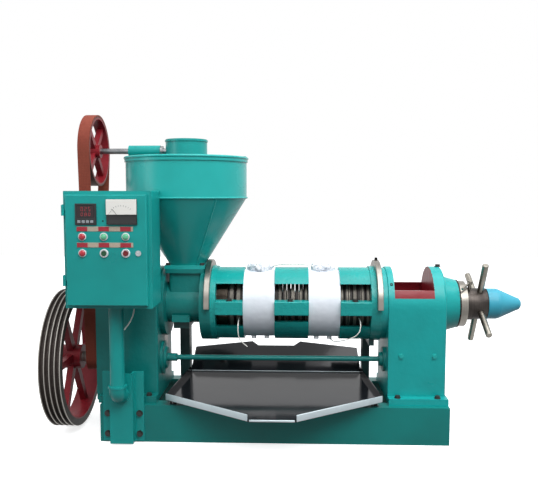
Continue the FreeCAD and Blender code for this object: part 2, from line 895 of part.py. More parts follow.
low_centre = (float(input_y), float(input_z))
high_centre = (0.0, float(feeder_z))
belt_inner = belt_loop(
    low_centre, float(s.small_pulley_radius + s.seat_gap),
    high_centre, float(s.feeder_pulley_radius + s.seat_gap))
belt_outer = belt_loop(
    low_centre, float(s.small_pulley_radius + s.seat_gap + s.belt_thickness),
    high_centre, float(s.feeder_pulley_radius + s.seat_gap + s.belt_thickness))
belt = Part.Face(belt_outer).cut(Part.Face(belt_inner)).extrude(Vector(float(s.belt_width), 0, 0))
shaped("flat_belt", belt, belt_far)


# Feeder drive: a shaft across the hopper mouth, a bevel pair and the stirrer below it
BEVEL_TEETH = 12


def bevel(phase):
    """A bevel gear along X whose cone has its point at X 0; the small end faces that point."""
    pitch = float(s.bevel_pitch_radius)
    module = 2 * pitch / BEVEL_TEETH
    big = gear_outline(BEVEL_TEETH, module, 0.40, phase)
    small = gear_outline(BEVEL_TEETH, module, 0.40, phase, 0.6)
    for point in big:
        point.x = -pitch
    for point in small:
        point.x = -0.6 * pitch
    wires = [Part.makePolygon(corners + corners[:1]) for corners in (big, small)]
    return Part.makeLoft(wires, True, True)


feeder_left = belt_far - 8
collar_start = apex_x - s.hopper_radius + 9 + s.feeder_tube_length + s.seat_gap
spindle = Part.makeCylinder(
    float(s.feeder_shaft_radius), float(apex_x - feeder_left - s.bevel_pitch_radius + 1),
    Vector(float(feeder_left), 0, 0), Vector(1, 0, 0))
collar = Part.makeCylinder(
    float(s.feeder_shaft_radius + 9), 10, Vector(float(collar_start), 0, 0), Vector(1, 0, 0))
feeder_bevel = bevel(-math.pi / 2)
feeder_bevel.translate(Vector(float(apex_x), 0, 0))
shaped("feeder_shaft", spindle.fuse([collar, feeder_bevel]).removeSplitter(), 0, 0, feeder_z)

stirrer_bevel = bevel(math.pi / BEVEL_TEETH)
stirrer_bevel.rotate(Vector(), Vector(0, 1, 0), -90)
stirrer_bevel.translate(Vector(0, 0, float(feeder_z)))
stem_top = float(feeder_z - s.bevel_pitch_radius + 2)
stem_low = float(s.axis_height + s.chamber_bore + s.stirrer_end_gap)
stem = Part.makeCylinder(float(s.stirrer_radius), stem_top - stem_low, Vector(0, 0, stem_low))
blades = []
for level, reach, angle in ((0.20, 60, 20), (0.42, 110, 110), (0.64, 160, 65), (0.80, 170, 155)):
    blade_z = stem_low + level * (stem_top - stem_low)
    blade = Part.makeCylinder(
        float(s.stirrer_arm_radius), 2 * reach, Vector(-reach, 0, blade_z), Vector(1, 0, 0))
    blade.rotate(Vector(0, 0, blade_z), Vector(0, 0, 1), angle)
    blades.append(blade)
shaped("stirrer", stem.fuse([stirrer_bevel] + blades).removeSplitter(), apex_x)

# Hopper: spun sheet with a band round its mouth and a square flange at its outlet
hopper = body(apex_x)
shell = outline(
    drawing(hopper, "XZ_Plane"),
    (s.hopper_outlet_radius, outlet), (s.hopper_radius, shoulder),
    (s.hopper_radius, mouth - s.hopper_band_height),
    (s.hopper_radius + s.hopper_band_thickness, mouth - s.hopper_band_height),
    (s.hopper_radius + s.hopper_band_thickness, mouth),
    (s.hopper_radius - s.hopper_wall, mouth), (s.hopper_radius - s.hopper_wall, shoulder),
    (s.hopper_outlet_radius - s.hopper_wall, outlet),
)
spun = hopper.newObject("PartDesign::Revolution", "Spun")
spun.Profile = shell
spun.ReferenceAxis = (shell, ["V_Axis"])
spun.Angle = 360


def square(sketch, half, middle=0):
    return outline(sketch, (middle - half, -half), (middle + half, -half),
                   (middle + half, half), (middle - half, half))


flange = square(drawing(hopper, "XY_Plane", outlet - s.hopper_flange_thickness), s.hopper_flange_half)
circle(flange, 0, 0, s.hopper_outlet_radius - s.hopper_wall)
pad(hopper, flange, s.hopper_flange_thickness + 1)
keep(hopper, "hopper")

# Bridge over the mouth with the feeder shaft's bearing tube, and the box over the bevel pair
bridge_reach = s.hopper_radius
bridge_z = (mouth, mouth + s.bridge_thickness)
tube_start = collar_start - s.seat_gap - s.feeder_tube_length
tube = rod("x", s.feeder_tube_radius, s.feeder_tube_length, tube_start, 0, feeder_z)
strap = block((apex_x - bridge_reach, apex_x + bridge_reach), (-s.bridge_half_width, s.bridge_half_width),
              bridge_z)
seat = rod("z", s.bevel_box_radius + 4, s.bridge_thickness, apex_x, 0, mouth)
keep(cut(
    fused(tube, strap, seat),
    rod("x", s.feeder_shaft_radius + s.fit_gap, s.feeder_tube_length, tube_start, 0, feeder_z),
    rod("z", s.stirrer_radius + s.fit_gap, s.bridge_thickness, apex_x, 0, mouth),
), "feeder_bridge")
box_floor = mouth + s.bridge_thickness
box_tall = s.bevel_box_rise
inner_box = s.bevel_box_radius - s.bevel_box_wall
box_lip = s.bevel_box_radius + s.bevel_box_lip
keep(cut(
    fused(rod("z", s.bevel_box_radius, box_tall, apex_x, 0, box_floor),
          rod("z", box_lip, s.bevel_box_lip * 2, apex_x, 0, box_floor + box_tall - s.bevel_box_lip * 3)),
    rod("z", inner_box, box_tall - s.bevel_box_wall, apex_x, 0, box_floor),
    rod("x", s.feeder_shaft_radius + s.pass_gap, s.bevel_box_radius, apex_x - s.bevel_box_radius, 0,
        feeder_z),
), "bevel_gear_cover")

# Feed chamber: a round casting on the screw's axis with a square neck up to the hopper
neck_top = outlet - s.hopper_flange_thickness
neck_x = (apex_x - s.neck_half, apex_x + s.neck_half)
flange_x = (apex_x - s.hopper_flange_half, apex_x + s.hopper_flange_half)
axis_z = s.axis_height
throat_x = (apex_x - s.throat_half, apex_x + s.throat_half)
pad_middle = apex_x - 17
right_flange_length = s.chamber_flange_thickness + s.clamp_thickness
pad_x = (pad_middle - s.chamber_pad_half, pad_middle + s.chamber_pad_half)
pad_z = (axis_z - s.chamber_pad_drop + 6, axis_z - s.chamber_pad_drop + 32)
chamber_body = fused(
    rod("x", s.chamber_radius, chamber_end - gearbox_right, gearbox_right, 0, axis_z),
    rod("x", s.chamber_left_flange, s.chamber_flange_thickness, gearbox_right, 0, axis_z),
    rod("x", s.chamber_right_flange, right_flange_length, chamber_end - right_flange_length, 0, axis_z),
    rounded(block(neck_x, (-s.neck_half, s.neck_half), (axis_z, neck_top)),
            s.neck_corner, edges_along("z")),
    rounded(block(flange_x, (-s.hopper_flange_half, s.hopper_flange_half),
                  (neck_top - s.hopper_flange_thickness - 3, neck_top)),
            s.hopper_flange_corner, edges_along("z")),
    block(pad_x, (-s.chamber_radius, s.chamber_radius), pad_z),
)
chamber_wall = gearbox_right + s.chamber_flange_thickness
keep(cut(
    chamber_body,
    rod("x", s.chamber_bore, chamber_end - chamber_wall, chamber_wall, 0, axis_z),
    rod("x", s.screw_radius + s.pass_gap, s.chamber_flange_thickness, gearbox_right, 0, axis_z),
    rod("x", s.input_cap_radius + s.seat_gap, s.chamber_flange_thickness, gearbox_right, input_y, input_z),
    block(throat_x, (-s.throat_half, s.throat_half), (axis_z, neck_top)),
    block((gearbox_right, chamber_end - s.clamp_thickness),
          (-s.chamber_right_flange, s.chamber_right_flange), (neck_top, neck_top + s.chamber_right_flange)),
), "feed_chamber")

# Clamp half rings round the flanges at both ends of the cage
def half_clamp(label, start):
    bevel_width, end = s.clamp_bevel, start + s.clamp_thickness
    keep(cut(
        turned([
            (start, s.clamp_bore), (end, s.clamp_bore), (end, s.clamp_radius - bevel_width),
            (end - bevel_width, s.clamp_radius), (start + bevel_width, s.clamp_radius),
            (start, s.clamp_radius - bevel_width),
        ], 0, 0, axis_z),
        block((start, start + s.clamp_thickness), (-s.clamp_radius, s.clamp_radius),
              (axis_z - s.clamp_radius, axis_z)),
    ), label)


cage_end = s.cage_end + s.clamp_thickness
half_clamp("clamp_ring_left", chamber_end - s.clamp_thickness)
half_clamp("clamp_ring_right", s.cage_end)


# Press cage: two windowed shells bolted along their split flanges
band_starts = (s.band_left_centre - s.band_width / 2, s.band_right_centre - s.band_width / 2)
window_spans = (
    (chamber_end + s.cage_flange_thickness, band_starts[0] - 1),
    (band_starts[0] + s.band_width + 1, band_starts[1] - 1),
    (band_starts[1] + s.band_width + 1, s.cage_end - s.cage_flange_thickness),
)


def strap_edge(side):
    """Picks the long outer edges on the strap's outward face."""
    face = float(axis_z + side * s.split_flange_thickness)

    def pick(edge):
        return edges_along("x")(edge) and abs(edge.BoundBox.ZMin - face) < 0.01
    return pick


def cage_half(label, side):
    length = cage_end - chamber_end
    reach = s.split_flange_reach
    low, high = s.split_gap / 2, s.split_flange_thickness
    if side > 0:
        strap_z = (axis_z + low, axis_z + high)
        away_z = (axis_z - reach, axis_z + low)
        drops = (s.upper_window_rise, s.upper_window_rise, s.upper_window_rise)
    else:
        strap_z = (axis_z - high, axis_z - low)
        away_z = (axis_z - low, axis_z + reach)
        drops = (s.lower_window_drop, s.middle_window_drop, s.lower_window_drop)
    windows = []
    for span, drop in zip(window_spans, drops):
        z = (axis_z + high, axis_z + drop) if side > 0 else (axis_z - drop, axis_z - high)
        windows.append(block(span, (-reach, reach), z))
    end_length = s.cage_flange_thickness + s.clamp_thickness
    end_start = s.cage_end - s.cage_flange_thickness
    solid = fused(
        rod("x", s.cage_shell_radius, length, chamber_end, 0, axis_z),
        rod("x", s.cage_flange_radius, s.cage_flange_thickness, chamber_end, 0, axis_z),
        rod("x", s.cage_flange_radius, end_length, end_start, 0, axis_z),
        rounded(block((chamber_end + s.cage_flange_thickness, end_start), (-reach, reach), strap_z),
                s.strap_round, strap_edge(side)),
    )
    seats = [ring(start - 1, s.band_width + 2, s.band_seat_radius, reach + 20, 0, axis_z)
             for start in band_starts]
    keep(cut(
        solid,
        rod("x", s.cage_bore, length, chamber_end, 0, axis_z),
        block((chamber_end, cage_end), (-reach, reach), away_z),
        *(seats + windows),
    ), label)


cage_half("cage_upper_half", 1)
cage_half("cage_lower_half", -1)

# Inside the cage: wedge-shaped bars first, then rings spaced apart to let the oil out
pack_radius = s.cage_bore - s.seat_gap
BAR_COUNT = 24


def press_bar(index):
    inner, outer = float(s.press_bore), float(pack_radius)
    step = 2 * math.pi / BAR_COUNT
    gap = 0.4
    corners = []
    for radius, side in ((inner, -1), (outer, -1), (outer, 1), (inner, 1)):
        angle = index * step + side * (step / 2 - gap / radius)
        corners.append(Vector(0, radius * math.cos(angle), radius * math.sin(angle)))
    return Part.Face(Part.makePolygon(corners + corners[:1])).extrude(
        Vector(float(s.press_bar_length), 0, 0))


shaped("press_bars", Part.makeCompound([press_bar(i) for i in range(BAR_COUNT)]),
       chamber_end + s.seat_gap, 0, axis_z)
bars_end = chamber_end + s.seat_gap + s.press_bar_length
gap = s.press_ring_gap
wide_rings = [
    (bars_end + gap, s.ring_spacer - 3 * gap),
    (bars_end + s.ring_spacer, band_starts[0] - gap - bars_end - s.ring_spacer),
    (band_starts[0], s.band_width - gap),
    (band_starts[1] - gap, s.band_width + gap),
]
thin_runs = [
    (band_starts[0] + s.band_width, band_starts[1] - 2 * gap),
    (band_starts[1] + s.band_width + gap, s.cage_end - gap),
]
stack = [ring(start, length, s.press_bore, pack_radius, 0, axis_z) for start, length in wide_rings]
pitch = s.press_ring_thickness + gap
for start, end in thin_runs:
    for index in range(int((float(end - start) + float(gap)) // float(pitch))):
        stack.append(ring(start + index * pitch, s.press_ring_thickness, s.press_bore, pack_radius,
                          0, axis_z))
group("press_rings", stack)

# Heater bands: sheet rings split at the bottom, with two pairs of clamp ears
band_inner = s.band_seat_radius + s.seat_gap
band_outer = band_inner + s.band_sheet
ear_z = (axis_z - band_outer - 14, axis_z - band_outer + 1)


def heater_band(label, start):
    ears, holes = [], []
    for share in (0.28, 0.72):
        middle = start + share * s.band_width
        for side in (-1, 1):
            y = (3, 6) if side > 0 else (-6, -3)
            ears.append(block((middle - 9, middle + 9), (float(y[0]), float(y[1])), ear_z))
        holes.append(rod("y", 3.4, 16, middle, -8, ear_z[0] + 6))
    keep(cut(
        fused(ring(start, s.band_width, band_inner, band_outer, 0, axis_z), *ears),
        block((start, start + s.band_width), (-3.0, 3.0), (ear_z[0], axis_z - band_inner + 4)),
        *holes,
    ), label)


heater_band("heater_band_left", band_starts[0])
heater_band("heater_band_right", band_starts[1])
fittings = []
for start in band_starts:
    for share in (0.28, 0.72):
        middle = start + share * s.band_width
        fittings.append(fused(
            rod("y", 3.2, 22, middle, -11, ear_z[0] + 6),
            rod("y", 5.5, 4.7, middle, -11, ear_z[0] + 6),
            rod("y", 5.5, 4.7, middle, 6.3, ear_z[0] + 6),
        ))
terminal_low = axis_z + band_outer + s.seat_gap
terminal_top = axis_z + band_outer + 17
for start in band_starts:
    middle = start + s.band_width / 2
    fittings.append(fused(
        block((middle - 22, middle + 22), (-11.0, 11.0), (terminal_low, terminal_top)),
        rod("z", 4, 6, middle - 12, 0, terminal_top),
        rod("z", 4, 6, middle + 12, 0, terminal_top),
    ))
group("band_fittings", fittings)


# Legs under the feed chamber and the cage end, each with a saddle arm towards the front
def leg(x, arm_x, arm_z, carve_radius):
    post = fused(
        block(x, (s.leg_near, s.leg_far), (s.channel_height, arm_z[1])),
        block(arm_x, (-s.leg_arm, s.leg_far), arm_z),
    )
    carve_x = (arm_x[0] - s.leg_width, arm_x[1] + s.leg_width)
    return cut(post, rod("x", carve_radius, carve_x[1] - carve_x[0], carve_x[0], 0, axis_z))


leg_left_x = (pad_middle - 31, pad_middle + 8)
group("cage_legs", [
    leg(leg_left_x, (pad_middle - 31, pad_middle + 30), (pad_z[0] - 28, pad_z[0]),
        s.chamber_radius + s.seat_gap),
    leg((s.cage_end - s.leg_width, s.cage_end), (s.cage_end - s.cage_flange_thickness, s.cage_end),
        (axis_z - s.cage_flange_radius - 12, axis_z - s.cage_flange_radius + 12),
        s.cage_flange_radius + s.seat_gap),
])

# Stay rod between the two castings, in line with the input shaft
support_left = cage_end + s.support_flange_thickness
stay_start = cap_end
stay_step = stay_start + s.stay_sleeve_length
stay_flange = support_left - 22
keep(turned([
    (stay_start, 0), (support_left, 0), (support_left, s.stay_flange_radius),
    (support_left - 9, s.stay_flange_radius), (support_left - 9, s.stay_flange_radius * 0.62),
    (stay_flange, s.stay_flange_radius * 0.55), (stay_flange, s.stay_radius), (stay_step, s.stay_radius),
    (stay_step, s.stay_sleeve_radius), (stay_start, s.stay_sleeve_radius),
], 0, input_y, input_z), "stay_rod")

# Support casting at the cake end: arched, hollow, cut open on top where the cake comes out
support_right = support_left + s.support_width
support = body()
pad(support, arch(drawing(support, "YZ_Plane", support_left), s.casting_half_depth, case_bottom, axis_z),
    s.support_width)
pad(support, outline(
    drawing(support, "XY_Plane", case_bottom),
    (support_left, -foot_half_depth), (support_right + 4, -foot_half_depth),
    (support_right + 4, foot_half_depth), (support_left, foot_half_depth),
), s.foot_thickness)
pad(support, circle(drawing(support, "YZ_Plane", cage_end), 0, axis_z, s.support_flange_radius),
    s.support_flange_thickness + 1)
boss = spin(support, outline(
    drawing(support, "XZ_Plane"),
    (support_right - 1, 0), (support_right + s.boss_length, 0),
    (support_right + s.boss_length, s.boss_end_radius), (support_right - 1, s.boss_root_radius),
))
boss_sketch = boss.Profile[0]
boss_sketch.AttachmentOffset = FreeCAD.Placement(Vector(0, float(axis_z), 0), Rotation())
boss_sketch.setExpression("AttachmentOffset.Base.y", axis_z.formula)
pocket(support, arch(drawing(support, "YZ_Plane", support_left + s.window_margin_left),
                     inner_half, inner_bottom, axis_z),
       s.support_width - s.window_margin_left - s.window_margin_right)
window = drawing(support, "XY_Plane", s.window_height)
outline(
    window,
    (support_left + s.window_margin_left, -s.casting_half_depth - 1),
    (support_right - s.window_margin_right, -s.casting_half_depth - 1),
    (support_right - s.window_margin_right, s.casting_half_depth + 1),
    (support_left + s.window_margin_left, s.casting_half_depth + 1),
)
pocket(support, window, s.casting_half_depth)
pocket(support, circle(drawing(support, "YZ_Plane", cage_end), 0, axis_z, s.outlet_radius),
       s.support_flange_thickness + s.window_margin_left)
pocket(support, circle(drawing(support, "YZ_Plane", support_right - s.window_margin_right), 0, axis_z,
                       s.sleeve_radius + s.fit_gap), s.window_margin_right + s.boss_length)
support = rounded(support, s.casting_edge, case_outline(support_left))
support = rounded(support, s.casting_round, case_outline(support_right))


def share_of(base, x, y, z):
    """The part of a piece that lies inside a block."""
    share = doc.addObject("Part::Common", "Share")
    share.Base = base
    share.Tool = block(x, y, z)
    return share


# The casting in lengths that meet face to face: both end walls, the floor and the two curved sides
hollow_x = (support_left + s.window_margin_left, support_right - s.window_margin_right)
across = (-foot_half_depth - 1, foot_half_depth + 1)
full_z = (case_bottom - 1, s.axis_height + s.casting_half_depth + 1)
lengths = [
    share_of(support, (cage_end - 1, hollow_x[0]), across, full_z),
    share_of(support, (hollow_x[1], support_right + s.boss_length + 1), across, full_z),
    share_of(support, hollow_x, across, (case_bottom - 1, inner_bottom)),
]
for side_y in ((across[0], 0), (0, across[1])):
    lengths.append(share_of(support, hollow_x, side_y, (inner_bottom, axis_z)))
    lengths.append(share_of(support, hollow_x, side_y, (axis_z, full_z[1])))
group("support_housing", lengths)

# Screw shaft with its gear seat, and the worms strung on it
screw_end = support_right + s.boss_length - 10
keep(turned([
    (cover_left, 0), (screw_end, 0), (screw_end, s.screw_radius), (cover_left, s.screw_radius),
], 0, 0, axis_z), "screw_shaft")


def worm(start, length, pitch, root_start, root_end):
    """One length of worm: a taper with a helical flight round it."""
    piece = body(start, 0, axis_z)
    spin(piece, outline(
        drawing(piece, "XZ_Plane"),
        (0, s.screw_radius + s.fit_gap), (length, s.screw_radius + s.fit_gap),
        (length, root_end), (0, root_start),
    ))
    base = drawing(piece, "XZ_Plane")
    low = root_start - 4
    outline(base, (4, low), (15, low), (12.5, s.worm_radius), (6.5, s.worm_radius))
    doc.recompute()
    flight = piece.newObject("PartDesign::AdditiveHelix", "Flight")
    flight.Profile = base
    flight.ReferenceAxis = (base, ["H_Axis"])
    flight.Mode = "pitch-height-angle"
    bind(flight, Pitch=pitch, Height=length - 20)
    return piece


worms = [worm(chamber_wall + 2 * s.worm_lead_gap, chamber_end - chamber_wall - 4 * s.worm_lead_gap,
              s.feed_pitch, s.worm_root, s.worm_root)]
seat = s.screw_radius + s.fit_gap
station = chamber_end + s.worm_lead_gap
# Each worm's pitch falls and its root grows, so the seed is pressed harder as it goes
for length, pitch_share, growth in (
    (s.worm_length, 1.0, 0), (s.worm_length, 0.9, 2), (s.last_worm_length, 0.8, 5),
):
    low_root = s.worm_root + growth
    worms.append(worm(station, length, s.press_pitch * pitch_share, low_root, low_root + 5))
    station = station + length + s.worm_end_gap
    if growth < 5:
        collar_end = station + s.worm_collar_length
        worms.append(turned([
            (station, seat), (collar_end, seat), (collar_end, s.worm_root + 4),
            (collar_end - s.worm_collar_length / 3, s.worm_radius - 6), (station, s.worm_root + 4),
        ], 0, 0, axis_z))
        station = collar_end + s.worm_end_gap
choke_end = cage_end + s.choke_reach
worms.append(turned([
    (station, seat), (choke_end, seat), (choke_end, s.worm_root), (cage_end, s.outlet_radius - 9),
    (cage_end - s.choke_shoulder, s.worm_radius - 2), (station, s.worm_root + 9),
], 0, 0, axis_z))
group("screw_worms", worms)

# Adjusting end: cover ring, lock ring, the nut with its four handles, the thrust sleeve and its cap
ring_start = support_right + s.boss_length
lock_start = ring_start + s.ring_cover_thickness
nut_start = lock_start + s.lock_ring_thickness
nut_body_start = nut_start + s.nut_flange_thickness
nut_end = nut_body_start + s.nut_body_length
keep(ring(ring_start, s.ring_cover_thickness, s.sleeve_radius + s.seat_gap, s.boss_end_radius, 0, axis_z),
     "ring_cover")
keep(ring(lock_start, s.lock_ring_thickness, s.sleeve_radius + s.seat_gap, s.lock_ring_radius, 0, axis_z),
     "lock_ring")
nut = turned([
    (nut_start + s.seat_gap, s.sleeve_radius + s.fit_gap), (nut_end, s.sleeve_radius + s.fit_gap),
    (nut_end, s.nut_body_radius - 3), (nut_end - 3, s.nut_body_radius),
    (nut_body_start, s.nut_body_radius), (nut_body_start, s.nut_flange_radius),
    (nut_start + s.seat_gap, s.nut_flange_radius),
], 0, 0, axis_z)
HANDLE_ANGLES = (30, 120, 210, 300)
handle_x = nut_body_start + s.nut_body_length / 2


def spoke_rod(x, radius, start, end, angle):
    """A round bar standing out from the screw's axis, at an angle from up towards the front."""
    bar = doc.addObject("Part::Cylinder", "Bar")
    bind(bar, Radius=radius, Height=end - start)
    cosine, sine = math.cos(math.radians(angle)), math.sin(math.radians(angle))
    place(bar, x, -start * sine, axis_z + start * cosine, Rotation(Vector(1, 0, 0), angle))
    return bar


def outer_end(edge):
    """Picks the rim of a handle's outer end."""
    middle = edge.BoundBox.Center
    reach = math.hypot(middle.y, middle.z - float(axis_z))
    return isinstance(edge.Curve, Part.Circle) and reach > float(s.handle_reach) - 5


LOCK_ANGLE = 26
lock_x = nut_start + s.nut_flange_thickness / 2
socket_floor = s.nut_body_radius - 9
sockets = [spoke_rod(handle_x, s.handle_radius + s.fit_gap, socket_floor, s.nut_body_radius + 5, angle)
           for angle in HANDLE_ANGLES]
sockets.append(spoke_rod(lock_x, s.lock_screw_radius + s.fit_gap, socket_floor,
                         s.nut_flange_radius + 5, LOCK_ANGLE))
keep(cut(nut, *sockets), "adjusting_nut")
group("adjusting_handles", [
    rounded(spoke_rod(handle_x, s.handle_radius, socket_floor, s.handle_reach, angle),
            s.handle_round, outer_end)
    for angle in HANDLE_ANGLES
])
# The locking screw's bar lies across its head, swung back over the lock ring
LEVER_SWING = 50
lever_height = s.lock_ring_radius + s.lever_clearance + s.lever_bar_radius
lever_bolt = spoke_rod(lock_x, s.lock_screw_radius, socket_floor, lever_height, LOCK_ANGLE)
lever_head = spoke_rod(lock_x, s.lock_screw_radius + 3, lever_height - 7, lever_height + 7, LOCK_ANGLE)
tilt = Rotation(Vector(1, 0, 0), LOCK_ANGLE)
lever_turn = tilt.multiply(Rotation(Vector(0, 0, 1), LEVER_SWING)).multiply(Rotation(Vector(0, 1, 0), -90))
lever_bar = doc.addObject("Part::Cylinder", "Bar")
bind(lever_bar, Radius=s.lever_bar_radius, Height=s.lever_length)
lever_sine, lever_cosine = math.sin(math.radians(LOCK_ANGLE)), math.cos(math.radians(LOCK_ANGLE))
place(lever_bar, lock_x, -lever_height * lever_sine, axis_z + lever_height * lever_cosine, lever_turn)
keep(fused(lever_bolt, lever_head, lever_bar), "lock_lever")

sleeve_start = support_right - s.window_margin_right + 4
sleeve_end = nut_end + 8
keep(turned([
    (sleeve_start, s.screw_radius + s.fit_gap), (screw_end + 6, s.screw_radius + s.fit_gap),
    (screw_end + 6, 0), (sleeve_end, 0), (sleeve_end, s.sleeve_radius), (sleeve_start, s.sleeve_radius),
], 0, 0, axis_z), "thrust_sleeve")
cap_start = nut_end + s.seat_gap
cap_tip = cap_start + s.cap_length
nose = s.cap_nose_radius
keep(turned([
    (sleeve_end, 0), (cap_tip, 0), (cap_tip, nose * 0.45), (cap_tip - nose * 0.25, nose * 0.8),
    (cap_tip - nose * 0.75, nose), (cap_start + 46, s.cap_radius - 2), (cap_start + 36, s.cap_radius),
    (cap_start, s.cap_radius), (cap_start, s.sleeve_radius + s.fit_gap),
    (sleeve_end, s.sleeve_radius + s.fit_gap),
], 0, 0, axis_z), "sleeve_cap")


# Oil tray: a floor that falls to the spout, a raised back sheet, a rim and four bent feet
def tray_floor_height(y):
    share = (float(y) + float(s.tray_spout_reach)) / float(s.tray_spout_reach + s.tray_fold_reach)
    return float(s.tray_spout_height) + share * float(s.tray_fold_height - s.tray_spout_height)


def tray_back_height(y):
    share = (float(y) - float(s.tray_fold_reach)) / float(s.tray_rear_reach - s.tray_fold_reach)
    return float(s.tray_fold_height) + share * float(s.tray_rear_height - s.tray_fold_height)


def tray_back_point(x, share):
    y = float(s.tray_fold_reach) + share * float(s.tray_rear_reach - s.tray_fold_reach)
    return Vector(x, y, tray_back_height(y))


def plate(points, drop):
    """A flat sheet through the points, given its thickness by a drop vector."""
    return Part.Face(Part.makePolygon(points + points[:1])).extrude(drop)


tray_half = float(support_left - s.tray_gap)
fold_half = tray_half - float(s.tray_fold_inset)
back_half = tray_half - float(s.tray_back_inset)
notch_out, notch_in = float(s.tray_notch_outer), float(s.tray_notch_inner)
SIDE_SHARE, NOTCH_SHARE = 0.80, 0.86
spout_half = float(s.tray_spout_half)
front_y, spout_y, fold_y = -float(s.tray_front_corner), -float(s.tray_spout_reach), float(s.tray_fold_reach)
rim_up = Vector(0, 0, float(s.tray_rim))
sheet_down = Vector(0, 0, -float(s.tray_sheet))


def on_floor(x, y):
    return Vector(x, y, tray_floor_height(y))


floor_points = [
    on_floor(-tray_half, front_y), on_floor(-spout_half, spout_y), on_floor(spout_half, spout_y),
    on_floor(tray_half, front_y), on_floor(fold_half, fold_y), on_floor(-fold_half, fold_y),
]
back_points = [
    on_floor(-fold_half, fold_y), on_floor(fold_half, fold_y), tray_back_point(back_half, SIDE_SHARE),
    tray_back_point(notch_out, 1.0), tray_back_point(notch_in, NOTCH_SHARE),
    tray_back_point(-notch_in, NOTCH_SHARE), tray_back_point(-notch_out, 1.0),
    tray_back_point(-back_half, SIDE_SHARE),
]


def rim_strip(start, end, start_cut=0.0):
    """An upright strip on the floor's edge, cut back at its start, one sheet thick towards the middle."""
    along = (end - start).normalize()
    inward = Vector(0, 0, 1).cross(along).normalize() * float(s.tray_sheet)
    to_middle = (floor_points[4] + floor_points[5] + floor_points[1] + floor_points[2]) / 4 - start
    if inward.dot(to_middle) < 0:
        inward = inward * -1
    corners = [start, end, end + rim_up, start + rim_up + along * start_cut]
    return plate(corners, inward)


tray_solids = [
    plate(floor_points, sheet_down),
    plate(back_points, sheet_down),
    rim_strip(floor_points[1], floor_points[0], float(s.tray_rim) * 1.4),
    rim_strip(floor_points[2], floor_points[3], float(s.tray_rim) * 1.4),
    rim_strip(floor_points[0], floor_points[5]),
    rim_strip(floor_points[3], floor_points[4]),
]
foot_y = float(frame_depth) / 2 - float(s.channel_flange) / 2
rail_top = float(s.channel_height)
front_foot = tray_half - float(s.tray_foot_inset)
rear_foot = back_half - float(s.tray_foot_inset) + 7
width, depth = float(s.tray_foot_width), float(s.tray_foot_depth)
for side in (-1, 1):
    for y, height_at, reach in (
        (-foot_y, tray_floor_height, front_foot), (foot_y, tray_back_height, rear_foot),
    ):
        middle = side * reach
        low_y = y - depth / 2
        corners = [
            Vector(middle - width / 2, low_y, rail_top),
            Vector(middle - width / 2, low_y + depth, rail_top),
            Vector(middle - width / 2, low_y + depth, height_at(low_y + depth) - 1),
            Vector(middle - width / 2, low_y, height_at(low_y) - 1),
        ]
        upright = plate(corners, Vector(float(s.tray_sheet), 0, 0))
        foot_tab = Part.makeBox(width, depth, float(s.tray_sheet),
                                Vector(middle - width / 2, low_y, rail_top))
        tray_solids += [upright, foot_tab]
tray = tray_solids[0].fuse(tray_solids[1:]).removeSplitter()
shaped("oil_tray", tray)


# Bolts: one hexagon head with a washer, repeated
def bolt(axis, x, y, z, out=1, radius=None):
    """Washer and hexagon head standing on a face; out is the side they stand on."""
    size = s.bolt_radius if radius is None else radius
    washer_thickness, head_height = size * 0.3, size * 0.9
    low = {"x": x, "y": y, "z": z}[axis]
    washer_at = low if out > 0 else low - washer_thickness
    head_at = low + washer_thickness if out > 0 else low - washer_thickness - head_height
    spot = {"x": x, "y": y, "z": z}
    spot[axis] = washer_at
    washer = rod(axis, size * 1.5, washer_thickness, spot["x"], spot["y"], spot["z"])
    head = doc.addObject("Part::Prism", "Head")
    head.Polygon = 6
    bind(head, Circumradius=size * 1.2, Height=head_height)
    spot[axis] = head_at
    place(head, spot["x"], spot["y"], spot["z"], ALONG[axis])
    return fused(washer, head)


foot_top = case_bottom + s.foot_thickness
foot_bolt_y = s.casting_half_depth + s.foot_bolt_gap
machine_bolts = []
for x in (gearbox_left + 30, gearbox_right - 30, support_left + 34, support_right - 34):
    for side in (-1, 1):
        machine_bolts.append(bolt("z", x, side * foot_bolt_y, foot_top))
for side in (-1, 1):
    for y, reach in ((-foot_y, front_foot), (foot_y, rear_foot)):
        machine_bolts.append(bolt("z", side * reach + 3, y, rail_top + float(s.tray_sheet), 1, 5.0))
plug_x = (support_left + s.plug_inset, support_left + s.plug_inset + s.plug_pitch)
for x in plug_x:
    machine_bolts.append(bolt("y", x, -s.casting_half_depth, input_z + 36, -1, s.bolt_radius * 0.8))
machine_bolts.append(bolt("z", support_right - 8, 0, axis_z + s.casting_half_depth, 1, s.bolt_radius))

flange_bolts = []
flange_bolt_radius = s.bolt_radius * 0.9
for side_x in (-1, 1):
    for side_y in (-1, 1):
        flange_bolts.append(bolt("z", apex_x + side_x * (s.hopper_flange_half - 12),
                                 side_y * (s.hopper_flange_half - 12), outlet + 1, 1, flange_bolt_radius))
for x in (chamber_end + s.first_bolt_inset, band_starts[0] + s.band_width + s.middle_bolt_inset,
          s.cage_end - s.last_bolt_inset):
    for side in (-1, 1):
        flange_bolts.append(bolt("z", x, side * (s.split_flange_reach - 16),
                                 axis_z + s.split_flange_thickness, 1))
group("flange_bolts", flange_bolts)

